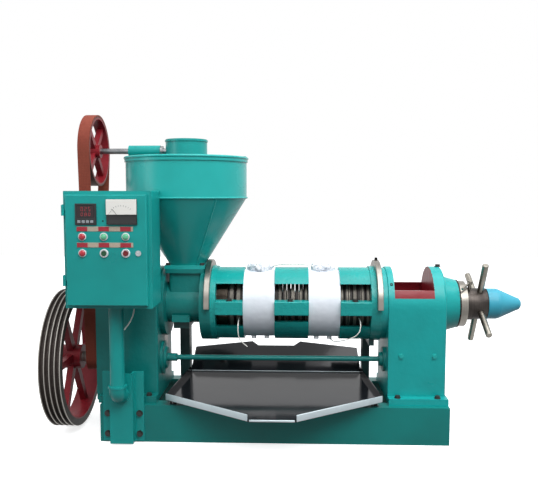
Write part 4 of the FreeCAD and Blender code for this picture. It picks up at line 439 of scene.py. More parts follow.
# Feeder drive
# A grey steel shaft in a teal bearing tube turns bevel gears under a round cover, which turn the
# arms that keep the seed moving in the hopper.
shaft_steel = turned_metal("ground_shaft_steel", FEEDER_AXIS, colour("#6F7275"), colour("#B4B7BA"),
                           roughness=0.3, depth=0.00004)
dress(["feeder_shaft", "stirrer"], shaft_steel)
dress(["feeder_bridge", "bevel_gear_cover"], sheet_enamel)

# Hopper
# Rolled 3 mm sheet: a drum with its rim rolled over a wire, welded to a cone. Weld beads show
# under the enamel at the shoulder and down the cone, where the rolled sheet's edges meet.
HOPPER_X = -0.344
RIM_RADIUS, RIM_Z, RIM_BEAD = 0.2345, 1.0555, 0.0055
SHOULDER_RADIUS, SHOULDER_Z, SHOULDER_BEAD = 0.2335, 0.905, 0.0035
OUTLET_RADIUS, OUTLET_Z = 0.0705, 0.646
SEAM_TURN = math.radians(-54)
SEAM_BEAD = 0.0032
SEAM_SHORTER = 0.012
MERGE_GAP = 0.00001
ROUNDED_FROM = math.radians(40)
SMOOTH_UP_TO = math.radians(35)


def start_piece(name, add, **settings):
    """Adds a primitive at its size and place, puts the place into its mesh and opens it."""
    bpy.ops.object.select_all(action="DESELECT")
    add(**settings)
    piece = bpy.context.object
    piece.name = name
    bpy.ops.object.transform_apply(location=True, rotation=True, scale=True)
    bpy.ops.object.mode_set(mode="EDIT")
    bpy.ops.mesh.select_mode(type="FACE")
    bpy.ops.mesh.select_all(action="SELECT")
    return piece


def pick(piece, wanted):
    """Selects the faces whose middle and normal are wanted, and nothing else."""
    shape = bmesh.from_edit_mesh(piece.data)
    bpy.ops.mesh.select_all(action="DESELECT")
    for face in shape.faces:
        face.select_set(bool(wanted(face.calc_center_median(), face.normal)))
    bmesh.update_edit_mesh(piece.data)


def finish_piece(piece, material, body, edge=0, rounds=3):
    """Closes the mesh, rounds its sharp edges and gives it a finish, a body and a slot."""
    bpy.ops.mesh.select_all(action="SELECT")
    bpy.ops.mesh.remove_doubles(threshold=MERGE_GAP)
    bpy.ops.mesh.normals_make_consistent(inside=False)
    bpy.ops.object.mode_set(mode="OBJECT")
    if edge:
        round_off = piece.modifiers.new("rounded_edges", "BEVEL")
        round_off.width = edge
        round_off.segments = rounds
        round_off.limit_method = "ANGLE"
        round_off.angle_limit = ROUNDED_FROM
        bpy.ops.object.modifier_apply(modifier=round_off.name)
    bpy.ops.object.shade_smooth_by_angle(angle=SMOOTH_UP_TO)
    piece.data.materials.append(material)
    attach(piece, body)
    return piece


def spun_bead(name, radius, height, thickness, material):
    """A round bead about the hopper's axis: a small circle spun through a full turn."""
    bead = start_piece(name, bpy.ops.mesh.primitive_circle_add, vertices=14, radius=thickness,
                       fill_type="NOTHING", location=(HOPPER_X + radius, 0, height),
                       rotation=(math.pi / 2, 0, 0))
    bpy.ops.mesh.select_mode(type="EDGE")
    bpy.ops.mesh.select_all(action="SELECT")
    bpy.ops.mesh.spin(steps=120, angle=2 * math.pi, center=(HOPPER_X, 0, height), axis=(0, 0, 1))
    finish_piece(bead, material, "root")


# The hopper's two teals are lighter copies of the press's teal, painted light for the hopper high under the
# lamps; the coat's noise mixes them.
SHADED_TEAL = colour("#1A9E99")
LIT_TEAL = colour("#29B8B3")
hopper_enamel = enamel("teal_enamel_on_spun_sheet", SHADED_TEAL, LIT_TEAL,
                       wave=SHEET_WAVE, wave_depth=SHEET_WAVE_DEPTH, roughness=0.2)
dress(["hopper"], hopper_enamel)
spun_bead("hopper_rim_bead", RIM_RADIUS, RIM_Z, RIM_BEAD, hopper_enamel)

# The ripples of a weld bead lie 4 mm apart under the enamel
weld_enamel = enamel("teal_enamel_on_weld", SHADED_TEAL, LIT_TEAL,
                     wave=0.004, wave_depth=0.0014, roughness=0.26)
spun_bead("hopper_shoulder_weld", SHOULDER_RADIUS, SHOULDER_Z, SHOULDER_BEAD, weld_enamel)
seam_side = Vector((math.cos(SEAM_TURN), math.sin(SEAM_TURN), 0))
top = seam_side * SHOULDER_RADIUS + Vector((HOPPER_X, 0, SHOULDER_Z))
foot = seam_side * OUTLET_RADIUS + Vector((HOPPER_X, 0, OUTLET_Z))
run = top - foot
seam = start_piece("hopper_cone_weld", bpy.ops.mesh.primitive_cylinder_add, vertices=12,
                   radius=SEAM_BEAD, depth=run.length - SEAM_SHORTER, location=(top + foot) / 2,
                   rotation=run.to_track_quat("Z", "Y").to_euler())
pick(seam, lambda middle, normal: abs(normal.dot(run.normalized())) > 0.9)
bpy.ops.mesh.inset(thickness=0.0012)
finish_piece(seam, weld_enamel, "root")

# Feed chamber and clamp half rings
# The cast inlet under the hopper is sprayed teal. Two half rings of turned steel, greyed by oil,
# clamp the cage's flanges to it and to the support. One black screw stops the right ring turning.
# The inlet's darker teal is painted shade from the hopper above it.
dress(["feed_chamber"], cast_enamel_painted_shade)
ring_steel = turned_metal("oil_greyed_ring_steel", PRESS_AXIS, colour("#817D77"), colour("#A9A49C"),
                          roughness=0.3, depth=0.00002)
dress(["clamp_ring_left", "clamp_ring_right"], ring_steel)

# Black oxide: a thin dark film on turned steel, which still shines at its edges
OXIDE_DARK = colour("#161514")
OXIDE_LIGHT = colour("#3A3836")
black_oxide = turned_metal("black_oxide_steel", PRESS_AXIS, OXIDE_DARK, OXIDE_LIGHT,
                           roughness=0.38, depth=0.00005)


def socket_screw(name, place, outward, sides, radius, length, wall, socket, edge):
    """A screw whose round end has a socket, facing outward."""
    screw = start_piece(name, bpy.ops.mesh.primitive_cylinder_add, vertices=sides, radius=radius,
                        depth=length, location=place,
                        rotation=outward.to_track_quat("Z", "Y").to_euler())
    pick(screw, lambda middle, normal: normal.dot(outward) > 0.9)
    bpy.ops.mesh.inset(thickness=wall)
    bpy.ops.mesh.extrude_region_move(TRANSFORM_OT_translate={"value": tuple(outward * -socket)})
    finish_piece(screw, black_oxide, "root", edge=edge)


STOP_SCREW = Vector((0.3935, 0, 0.6675))
socket_screw("ring_stop_screw", STOP_SCREW, outward=Vector((0, 0, 1)), sides=24, radius=0.006,
             length=0.010, wall=0.0025, socket=0.004, edge=0.0008)

# Press cage
# Two heavy iron castings bolted together along their straps, rough from the sand under the enamel.
# They carry hardened bars on the inlet side and stacked hardened rings further on.
rough_enamel = enamel("teal_enamel_on_rough_castings", colour("#0E8682"), colour("#1CAFAA"),
                      wave=0.013, wave_depth=0.0016, roughness=0.2)
dress(["cage_upper_half", "cage_lower_half"], rough_enamel)

# The legs stand in the shade under the cage, and that shade is painted into their near-black enamel.
painted_shade_enamel = enamel("enamel_on_legs_painted_shade", colour("#0A2B2C"), colour("#123C3C"),
                       wave=0.03, wave_depth=0.001, roughness=0.34)
dress(["cage_legs"], painted_shade_enamel)

# Hardened iron stays nearly black, and oil in its turned rings gives a few warm glints
hard_iron = turned_metal("oil_stained_press_iron", PRESS_AXIS, colour("#181411"), colour("#4E4740"),
                         roughness=0.4, depth=0.0001)
dress(["press_bars", "screw_shaft", "screw_worms", "thrust_sleeve"], hard_iron)

# The stacked rings differ in polish: of each 26 mm, half is ground brighter under its oil
RING_PITCH = 0.026
BRIGHT_FROM, BRIGHT_TO = 0.48, 0.52
OIL_PATCH = 0.025
press_ring_iron, tree = blank_material("ground_press_ring_iron")
place = add_node(tree, "TexCoord").outputs["Object"]
along = add_node(tree, "SeparateXYZ", {0: place})
turn = add_node(tree, "Math", {0: along.outputs["X"], 1: RING_PITCH}, operation="DIVIDE")
part_way = add_node(tree, "Math", {0: turn.outputs[0]}, operation="FRACT")
bright_ring = add_node(tree, "MapRange", {
    "Value": part_way.outputs[0], "From Min": BRIGHT_FROM, "From Max": BRIGHT_TO})
oil = add_node(tree, "TexNoise", {"Vector": place, "Scale": 1 / OIL_PATCH, "Detail": 4.0})
share = add_node(tree, "Math", {0: bright_ring.outputs[0], 1: oil.outputs[0]}, operation="MULTIPLY")
tint = add_node(tree, "Mix", {
    FACTOR: share.outputs[0], FIRST: colour("#1B1715"), SECOND: colour("#8E877D")}, data_type="RGBA")
grain = add_node(tree, "Bump", {"Height": oil.outputs[0], "Distance": 0.0003})
iron = add_node(tree, "BsdfPrincipled", {
    "Base Color": tint.outputs[MIXED], "Metallic": 0.45, "Roughness": 0.5, "Normal": grain.outputs[0]})
finish_with(tree, iron.outputs[0])
dress(["press_rings"], press_ring_iron)

# Heater bands and terminals
# Each band is a glass-fibre jacket drawn tight round the cage by two screws underneath. It keeps
# its white packing film, which lies in wrinkles and is bunched up round the two terminals.
HAZE_PATCH = 0.142857
FILM_CREASE = 0.02
jacket_film, tree = blank_material("white_packing_film")
place = add_node(tree, "TexCoord").outputs["Object"]
haze = add_node(tree, "TexNoise", {"Vector": place, "Scale": 1 / HAZE_PATCH, "Detail": 3.0})
tint = add_node(tree, "Mix", {
    FACTOR: haze.outputs[0], FIRST: colour("#DDE4EE"), SECOND: colour("#F3F6FB")}, data_type="RGBA")
crease = add_node(tree, "TexNoise", {
    "Vector": place, "Scale": 1 / FILM_CREASE, "Detail": 3.0, "Distortion": 0.6})
folds = add_node(tree, "Bump", {"Height": crease.outputs[0], "Distance": 0.0006, "Strength": 0.5})
film = add_node(tree, "BsdfPrincipled", {
    "Base Color": tint.outputs[MIXED], "Roughness": 0.36, "Specular IOR Level": 0.4,
    "Normal": folds.outputs[0]})
finish_with(tree, film.outputs[0])
dress(["heater_band_left", "heater_band_right"], jacket_film)

# Where it is bunched up, the same film is drawn grey in its creases: painted shade in the folds.
TUFT_CREASE = 0.012
GREY_FROM, WHITE_FROM = 0.38, 0.58
loose_film, tree = blank_material("bunched_packing_film_painted_crease_shade")
place = add_node(tree, "TexCoord").outputs["Object"]
crease_pattern = add_node(tree, "TexNoise", {
    "Vector": place, "Scale": 1 / TUFT_CREASE, "Detail": 4.0, "Distortion": 1.2})
depth = add_node(tree, "MapRange", {
    "Value": crease_pattern.outputs[0], "From Min": GREY_FROM, "From Max": WHITE_FROM})
tint = add_node(tree, "Mix", {
    FACTOR: depth.outputs[0], FIRST: colour("#C3CBD6"), SECOND: colour("#F5F7FB")}, data_type="RGBA")
folds = add_node(tree, "Bump", {"Height": crease_pattern.outputs[0], "Distance": 0.003})
film = add_node(tree, "BsdfPrincipled", {
    "Base Color": tint.outputs[MIXED], "Roughness": 0.3, "Normal": folds.outputs[0]})
finish_with(tree, film.outputs[0])

BAND_STARTS = {"left": -0.116, "right": 0.131}
BAND_WIDTH = 0.116
BAND_RADIUS = 0.1303
FILM_OVERHANG = 0.003
FILM_GAP = 8
TUFT_RADIUS, TUFT_THICKNESS = 0.027, 0.0095
TUFT_STRETCH = (1.25, 0.95, 1.15)
creases = bpy.data.textures.new("film_creases", "CLOUDS")
creases.noise_scale = FILM_CREASE
creases.noise_depth = 3


def crumple(piece, strength, level):
    """Pushes film in and out by a cloud pattern. Higher levels draw it in more."""
    push = piece.modifiers.new("crumple", "DISPLACE")
    push.texture = creases
    push.texture_coords = "LOCAL"
    push.strength = strength
    push.mid_level = level
    bpy.ops.object.modifier_apply(modifier=push.name)


for side, start in BAND_STARTS.items():
    band_top = Vector((start + BAND_WIDTH / 2, 0, PRESS_AXIS[1] + BAND_RADIUS))
    # A strip of plane gives up all but its far edge, which is then spun round the cage
    wrap = start_piece(f"band_film_{side}", bpy.ops.mesh.primitive_plane_add, size=1, location=band_top)
    bpy.ops.transform.resize(value=(BAND_WIDTH + FILM_OVERHANG, 0.004, 1), center_override=band_top)
    bpy.ops.mesh.delete(type="ONLY_FACE")
    outline = bmesh.from_edit_mesh(wrap.data)
    bpy.ops.mesh.select_mode(type="EDGE")
    bpy.ops.mesh.select_all(action="DESELECT")
    for line in outline.edges:
        line.select_set(any(corner.co.y < 0 for corner in line.verts))
    bmesh.update_edit_mesh(wrap.data)
    bpy.ops.mesh.delete(type="EDGE")
    bpy.ops.mesh.select_all(action="SELECT")
    bpy.ops.mesh.subdivide(number_cuts=26)
    bpy.ops.mesh.spin(steps=220, angle=math.radians(360 - FILM_GAP), center=(0, 0, PRESS_AXIS[1]),
                      axis=(1, 0, 0))
    bpy.ops.mesh.select_all(action="SELECT")
    bpy.ops.transform.rotate(value=-math.radians(180 + FILM_GAP / 2), orient_axis="X",
                             center_override=(0, 0, PRESS_AXIS[1]))
    finish_piece(wrap, jacket_film, "root")
    crumple(wrap, strength=0.0012, level=0.3)

    tuft = start_piece(f"film_tuft_{side}", bpy.ops.mesh.primitive_torus_add, major_segments=72,
                       minor_segments=24, major_radius=TUFT_RADIUS, minor_radius=TUFT_THICKNESS,
                       location=band_top + Vector((0, 0, 0.007)))
    bpy.ops.transform.resize(value=TUFT_STRETCH, center_override=band_top + Vector((0, 0, 0.005)))
    finish_piece(tuft, loose_film, "root")
    crumple(tuft, strength=0.034, level=0.40)

# Terminal blocks are white ceramic on the band, and their screws below are zinc plated. Zinc shows
# as a bright grey that shifts from crystal to crystal.
CERAMIC_ABOVE = 0.6
ZINC_CRYSTAL = 0.004


def zinc_crystals(tree, place):
    """The zinc's crystals: how far each point is from its crystal's middle, and the zinc's colour."""
    crystal = add_node(tree, "TexVoronoi", {"Vector": place, "Scale": 1 / ZINC_CRYSTAL})
    tint = add_node(tree, "Mix", {
        FACTOR: crystal.outputs["Distance"], FIRST: colour("#9EA3A8"), SECOND: colour("#D5D9DC")},
        data_type="RGBA")
    return crystal.outputs["Distance"], tint.outputs[MIXED]


fittings, tree = blank_material("ceramic_and_zinc_fittings")
place = add_node(tree, "TexCoord").outputs["Object"]
ceramic = within(tree, place, [("Z", "GREATER_THAN", CERAMIC_ABOVE)])
metal_share = add_node(tree, "Math", {0: 1.0, 1: ceramic}, operation="SUBTRACT")
crystal, zinc_colour = zinc_crystals(tree, place)
tint = add_node(tree, "Mix", {
    FACTOR: ceramic, FIRST: zinc_colour, SECOND: colour("#E2E2DC")}, data_type="RGBA")
grain = add_node(tree, "Bump", {"Height": crystal, "Distance": 0.0001})
plate = add_node(tree, "BsdfPrincipled", {
    "Base Color": tint.outputs[MIXED], "Metallic": metal_share.outputs[0], "Roughness": 0.32,
    "Normal": grain.outputs[0]})
finish_with(tree, plate.outputs[0])
dress(["band_fittings"], fittings)

# Support housing
# The casting that takes the screw's thrust, teal outside. Its hollow is brushed crimson, which
# shows through the opening cut in its top.
HOLLOW = [
    ("X", "GREATER_THAN", 0.4485), ("X", "LESS_THAN", 0.5955), ("Y", "GREATER_THAN", -0.1385),
    ("Y", "LESS_THAN", 0.1385), ("Z", "GREATER_THAN", 0.28),
]
support_enamel = enamel("teal_enamel_over_crimson_hollow", colour("#12908E"), colour("#1BB0AE"),
                        wave=0.03, wave_depth=0.0012, roughness=0.24, crimson_within=HOLLOW)
dress(["support_housing"], support_enamel)
LAND_PLUG = Vector((0.4385, -0.1134, 0.5827))
socket_screw("support_land_plug", LAND_PLUG,
             outward=Vector((0, LAND_PLUG.y, LAND_PLUG.z - PRESS_AXIS[1])).normalized(),
             sides=32, radius=0.0055, length=0.004, wall=0.002, socket=0.002, edge=0.0006)

# Adjuster
# A black ring, a bright lock ring and a blackened nut with four steel handles set the gap that the
# cake leaves by. A small screw with a cross bar locks it, and a blue plastic cap covers the end.
nut_steel = turned_metal("oil_blackened_steel", PRESS_AXIS, colour("#2E2B2A"), colour("#5C5652"),
                         roughness=0.36, depth=0.00008)
dress(["adjusting_nut"], nut_steel)
dress(["ring_cover"], black_oxide)
dress(["lock_ring"], ring_steel)
handle_steel = turned_metal("handled_bar_steel", PRESS_AXIS, colour("#7C7870"), colour("#B3AEA4"),
                            roughness=0.3, depth=0.00002)
dress(["adjusting_handles", "lock_lever"], handle_steel)

# Moulded polythene looks waxy: a soft sheen, and slow shifts of colour where it flowed in the mould
FLOW_PATCH = 0.09091
MOULD_GRAIN = 0.002
cap_plastic, tree = blank_material("blue_moulded_polythene")
place = add_node(tree, "TexCoord").outputs["Object"]
flow = add_node(tree, "TexNoise", {"Vector": place, "Scale": 1 / FLOW_PATCH, "Detail": 3.0})
tint = add_node(tree, "Mix", {
    FACTOR: flow.outputs[0], FIRST: colour("#2C93AC"), SECOND: colour("#42AEC6")}, data_type="RGBA")
grain = add_node(tree, "TexNoise", {"Vector": place, "Scale": 1 / MOULD_GRAIN, "Detail": 2.0})
skin = add_node(tree, "Bump", {"Height": grain.outputs[0], "Distance": 0.00008})
moulded = add_node(tree, "BsdfPrincipled", {
    "Base Color": tint.outputs[MIXED], "Roughness": 0.4, "Normal": skin.outputs[0]})
finish_with(tree, moulded.outputs[0])
dress(["sleeve_cap"], cap_plastic)

# Oil tray
# Folded from dark polished sheet, which mirrors the press in slow dents. The bare lips along its
# front are bent up and hemmed; their pale colour is partly a painted reflection of the white
# surround. The fold across its floor is drawn as a bright line, a painted highlight.
DENT_SIZE = 0.25
MIRROR_ROUGHNESS, SMEARED_ROUGHNESS = 0.06, 0.17
tray_sheet, tree = blank_material("dark_polished_sheet")
place = add_node(tree, "TexCoord").outputs["Object"]
cloud = add_node(tree, "TexNoise", {"Vector": place, "Scale": 1 / DENT_SIZE, "Detail": 5.0})
tint = add_node(tree, "Mix", {
    FACTOR: cloud.outputs[0], FIRST: colour("#131418"), SECOND: colour("#222429")}, data_type="RGBA")
gloss = add_node(tree, "MapRange", {
    "Value": cloud.outputs[0], "To Min": MIRROR_ROUGHNESS, "To Max": SMEARED_ROUGHNESS})
dish = add_node(tree, "Bump", {"Height": cloud.outputs[0], "Distance": 0.0015})
polished = add_node(tree, "BsdfPrincipled", {
    "Base Color": tint.outputs[MIXED], "Metallic": 0.25, "Roughness": gloss.outputs[0],
    "Normal": dish.outputs[0]})
finish_with(tree, polished.outputs[0])
dress(["oil_tray"], tray_sheet)

# Bare rolled steel is paler and duller than the tray's floor, with a few smears of oil. Its pale
# bluish grey is partly a painted reflection of the white surround.
SMEAR_SIZE = 0.055556
hem_steel_painted_light, tree = blank_material("bare_steel_hem_painted_light")
place = add_node(tree, "TexCoord").outputs["Object"]
smear = add_node(tree, "TexNoise", {"Vector": place, "Scale": 1 / SMEAR_SIZE, "Detail": 4.0})
tint = add_node(tree, "Mix", {
    FACTOR: smear.outputs[0], FIRST: colour("#B4C2C8"), SECOND: colour("#D6E2E6")}, data_type="RGBA")
brush = add_node(tree, "Bump", {"Height": smear.outputs[0], "Distance": 0.0003})
steel = add_node(tree, "BsdfPrincipled", {
    "Base Color": tint.outputs[MIXED], "Metallic": 0.55, "Roughness": 0.34, "Normal": brush.outputs[0]})
finish_with(tree, steel.outputs[0])

TRAY_BACK, TRAY_FRONT = 0.09, -0.385
FLOOR_BACK, FLOOR_FRONT = 0.190, 0.147
LIP, SPOUT_LIP = 0.0205, 0.004
HEM_THICKNESS = 0.0046
HEM_OVER_LIP = 0.003
FOLD_RADIUS, FOLD_LENGTH, FOLD_OVER_FLOOR = 0.0016, 0.69, 0.0035


def tray_floor(y):
    """Height of the tray's floor, which falls towards its spout."""
    return FLOOR_FRONT + (y - TRAY_FRONT) / (TRAY_BACK - TRAY_FRONT) * (FLOOR_BACK - FLOOR_FRONT)


# Each hem runs from one corner to the next, with the height of the lip that it caps
HEMS = {
    "left": (Vector((-0.398, -0.205)), Vector((-0.084, -0.3816)), LIP),
    "right": (Vector((0.398, -0.205)), Vector((0.084, -0.3816)), LIP),
    "spout": (Vector((-0.078, -0.385)), Vector((0.078, -0.385)), SPOUT_LIP),
}
for side, (one, other, lip) in HEMS.items():
    along = other - one
    middle = (one + other) / 2
    hem = start_piece(f"tray_hem_{side}", bpy.ops.mesh.primitive_cube_add, size=1,
                      location=(middle.x, middle.y, tray_floor(middle.y) + lip / 2),
                      rotation=(0, 0, math.atan2(along.y, along.x)),
                      scale=(along.length, HEM_THICKNESS, lip + HEM_OVER_LIP))
    shape = bmesh.from_edit_mesh(hem.data)
    for corner in shape.verts:
        corner.co.z += tray_floor(corner.co.y) - tray_floor(middle.y)
    bmesh.update_edit_mesh(hem.data)
    finish_piece(hem, hem_steel_painted_light, "root", edge=0.0016)

# The fold line's bright bare steel is a painted highlight along the fold.
fold = start_piece("tray_fold_line", bpy.ops.mesh.primitive_cylinder_add, vertices=12,
                   radius=FOLD_RADIUS, depth=FOLD_LENGTH,
                   location=(0, TRAY_BACK, FLOOR_BACK + FOLD_OVER_FLOOR), rotation=(0, math.pi / 2, 0))
pick(fold, lambda middle, normal: abs(normal.x) > 0.9)
bpy.ops.mesh.inset(thickness=0.0006)
finish_piece(fold, hem_steel_painted_light, "root")

# Bolts
# Hexagon bolts and screws blackened in hot oil, which leaves a sooty, satin skin. The plugs in the
# support's front wall went in before it was sprayed, so they carry its paint.
PLUGS = [
    ("X", "GREATER_THAN", 0.45), ("Z", "GREATER_THAN", 0.20), ("Z", "LESS_THAN", 0.42),
    ("Y", "LESS_THAN", -0.13),
]
SOOT_PATCH = 0.012
bolt_black, tree = blank_material("black_oxide_bolts_some_painted")
place = add_node(tree, "TexCoord").outputs["Object"]
soot = add_node(tree, "TexNoise", {"Vector": place, "Scale": 1 / SOOT_PATCH, "Detail": 3.0})
oxide = add_node(tree, "Mix", {
    FACTOR: soot.outputs[0], FIRST: OXIDE_DARK, SECOND: OXIDE_LIGHT}, data_type="RGBA")
tint = add_node(tree, "Mix", {
    FACTOR: within(tree, place, PLUGS), FIRST: oxide.outputs[MIXED], SECOND: TEAL_FULL},
    data_type="RGBA")
skin = add_node(tree, "Bump", {"Height": soot.outputs[0], "Distance": 0.0002})
coated = add_node(tree, "BsdfPrincipled", {
    "Base Color": tint.outputs[MIXED], "Roughness": 0.36, "Normal": skin.outputs[0]})
finish_with(tree, coated.outputs[0])
dress(["machine_bolts", "flange_bolts"], bolt_black)

# Control box
# A folded sheet case on a post, with a proud door. Everything on the door is a standard panel part:
# lamps with domed lenses, flush push buttons, a digital temperature controller and a current meter.
dress(["control_box", "control_door", "door_hinges"], sheet_enamel)

# The door's lock is zinc plated, with the same crystals as the screws of the bands
zinc, tree = blank_material("zinc_plated_screws")
place = add_node(tree, "TexCoord").outputs["Object"]
crystal, zinc_colour = zinc_crystals(tree, place)
grain = add_node(tree, "Bump", {"Height": crystal, "Distance": 0.0001})
plate = add_node(tree, "BsdfPrincipled", {
    "Base Color": zinc_colour, "Metallic": 1.0, "Roughness": 0.32, "Normal": grain.outputs[0]})
finish_with(tree, plate.outputs[0])
dress(["door_lock"], zinc)


def moulding(name, dark, light, roughness, speck, glow=0.0):
    """Moulded plastic: a fine sparked texture from the mould, in two close tones."""
    material, tree = blank_material(name)
    place = add_node(tree, "TexCoord").outputs["Object"]
    spark = add_node(tree, "TexNoise", {"Vector": place, "Scale": 1 / speck, "Detail": 1.0})
    tint = add_node(tree, "Mix", {FACTOR: spark.outputs[0], FIRST: dark, SECOND: light}, data_type="RGBA")
    skin = add_node(tree, "Bump", {"Height": spark.outputs[0], "Distance": 0.00006})
    plastic = add_node(tree, "BsdfPrincipled", {
        "Base Color": tint.outputs[MIXED], "Roughness": roughness, "Normal": skin.outputs[0],
        "Emission Color": light, "Emission Strength": glow})
    finish_with(tree, plastic.outputs[0])
    return material


# Housings, keys and cards are matt. Acrylic lenses and the screen are smooth, so they shine. The
# plated bezels are drawn as pale grey plastic whose pale colour is a painted reflection of the
# white surround.
FINE_SPECK, SPECK, COARSE_SPECK = 0.002, 0.003, 0.004
panel_black = moulding("black_abs_housing", colour("#141516"), colour("#242628"), 0.35, 0.0012)
dial_white = moulding("white_dial_card", colour("#E9E7DF"), colour("#F6F5F0"), 0.6, FINE_SPECK)
print_black = moulding("black_printing_ink", colour("#161616"), colour("#2A2A2A"), 0.6, FINE_SPECK)
lens_red = moulding("red_acrylic_lens", colour("#A81E2C"), colour("#CC3846"), 0.15, COARSE_SPECK)
lens_mint = moulding("pale_green_acrylic_lens", colour("#3FA87A"), colour("#7BD6A9"), 0.15, COARSE_SPECK)
cap_green = moulding("green_button_cap", colour("#0C3B22"), colour("#145A34"), 0.3, SPECK)
cap_red = moulding("red_button_cap", colour("#5E0F16"), colour("#8C1A22"), 0.3, SPECK)
strip_card = moulding("buff_label_card", colour("#A99A88"), colour("#C2B4A3"), 0.6, SPECK)
plate_red = moulding("red_engraved_plate", colour("#93202E"), colour("#B2303E"), 0.45, FINE_SPECK)
glow_red = moulding("lit_red_segments", colour("#8E2630"), colour("#A83A40"), 0.4, SPECK, glow=0.12)
screen_dark = moulding("smoked_screen", colour("#1A0C10"), colour("#241318"), 0.12, COARSE_SPECK)
key_grey = moulding("grey_rubber_keys", colour("#8B8F94"), colour("#A9ADB2"), 0.55, FINE_SPECK)
bezel_painted_reflection = moulding("plated_bezel_painted_reflection", colour("#D9DCDF"), colour("#F2F4F6"), 0.22, COARSE_SPECK)

DOOR_Y = -0.3905
LAMP_COLUMNS = (-0.636, -0.5625, -0.489)
HIGH_ROW, LOW_ROW = 0.777, 0.7215


def turned_knob(name, place, rings, material, body, sides=48):
    """A round piece on the door, built out from a disc ring by ring: (radius, how far forward)."""
    x, z = place
    radius, front = rings[0]
    knob = start_piece(name, bpy.ops.mesh.primitive_circle_add, vertices=sides, radius=radius,
                       fill_type="NGON", location=(x, front, z), rotation=(math.pi / 2, 0, 0))
    for next_radius, next_front in rings[1:]:
        bpy.ops.mesh.extrude_region_move(TRANSFORM_OT_translate={"value": (0, next_front - front, 0)})
        share = next_radius / radius
        bpy.ops.transform.resize(value=(share, 1, share), center_override=(x, next_front, z))
        radius, front = next_radius, next_front
    return finish_piece(knob, material, body)


# A bezel's flange turns over to a flat rim and back down to the lens, which is domed
BEZEL = (
    (0.0135, DOOR_Y + 0.0005), (0.0135, DOOR_Y - 0.003), (0.0125, DOOR_Y - 0.004),
    (0.0108, DOOR_Y - 0.004), (0.0104, DOOR_Y - 0.0025),
)
LENS = (
    (0.0103, DOOR_Y), (0.0103, DOOR_Y - 0.005), (0.0098, DOOR_Y - 0.0075), (0.008, DOOR_Y - 0.0092),
    (0.0045, DOOR_Y - 0.0103), (0.0015, DOOR_Y - 0.0106),
)
LAMPS = (
    ((LAMP_COLUMNS[0], HIGH_ROW), lens_red, "lamp_red"),
    ((LAMP_COLUMNS[1], HIGH_ROW), lens_mint, "button_green"),
    ((LAMP_COLUMNS[2], HIGH_ROW), lens_mint, "button_green"),
    ((LAMP_COLUMNS[0], LOW_ROW), lens_red, "lamp_red"),
)
for number, (place, glass, slot) in enumerate(LAMPS):
    bezel = turned_knob(f"lamp_bezel_{number + 1}", place, BEZEL, bezel_painted_reflection, "door")
    turned_knob(f"lamp_lens_{number + 1}", place, LENS, glass, "door")
    if number == 0:
        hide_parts("door_lamps")

# A button's collar stays on the door. Its cap slides in the collar, and has a collar of its own
# behind the door and a dished front.
COLLAR = (
    (0.0145, DOOR_Y + 0.0005), (0.0145, DOOR_Y - 0.004), (0.0135, DOOR_Y - 0.005),
    (0.0106, DOOR_Y - 0.005), (0.0098, DOOR_Y - 0.0035),
)
CAP = (
    (0.012, DOOR_Y + 0.016), (0.012, DOOR_Y + 0.013), (0.009, DOOR_Y + 0.013), (0.009, DOOR_Y - 0.0070),
    (0.0082, DOOR_Y - 0.0078), (0.0070, DOOR_Y - 0.0078), (0.0066, DOOR_Y - 0.0070),
    (0.0015, DOOR_Y - 0.0066),
)
for side, column in (("start", LAMP_COLUMNS[1]), ("stop", LAMP_COLUMNS[2])):
    turned_knob(f"{side}_button_collar", (column, LOW_ROW), COLLAR, bezel_painted_reflection, "door")
for side, column, plastic, slot in (("start", LAMP_COLUMNS[1], cap_green, "button_green"),
                                    ("stop", LAMP_COLUMNS[2], cap_red, "button_red")):
    cap = turned_knob(f"{side}_cap", (column, LOW_ROW), CAP, plastic, f"{side}_button")
    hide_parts(f"{side}_button")

DOOR_SCREW = (-0.5647, 0.8297)
SCREW_HEAD = ((0.0026, DOOR_Y + 0.0002), (0.0026, DOOR_Y - 0.001), (0.0016, DOOR_Y - 0.0018))
turned_knob("door_screw", DOOR_SCREW, SCREW_HEAD, black_oxide, "door", sides=16)


def door_block(name, low, high):
    """A block between two corners on the door, opened with its front selected."""
    block = start_piece(name, bpy.ops.mesh.primitive_cube_add, size=1,
                        location=[(a + b) / 2 for a, b in zip(low, high)],
                        scale=[b - a for a, b in zip(low, high)])
    pick(block, lambda middle, normal: normal.y < -0.9)
    return block


def panel_block(name, low, high, material, edge, rounds=3):
    """A moulded block between two corners on the door, with softened edges."""
    block = door_block(name, low, high)
    bpy.ops.mesh.inset(thickness=edge * 1.5)
    return finish_piece(block, material, "door", edge=edge, rounds=rounds)


def recessed_block(name, low, high, frame_width, depth, material):
    """A housing between two corners whose front is sunk inside a raised frame."""
    block = door_block(name, low, high)
    bpy.ops.mesh.inset(thickness=frame_width)
    bpy.ops.mesh.extrude_region_move(TRANSFORM_OT_translate={"value": (0, depth, 0)})
    return finish_piece(block, material, "door", edge=0.0012)


def copy_piece(piece, name, change, body):
    """The same piece again with a mesh of its own, moved or turned by a matrix."""
    again = piece.copy()
    again.data = piece.data.copy()
    again.name = name
    again.data.transform(change)
    bpy.context.scene.collection.objects.link(again)
    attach(again, body)


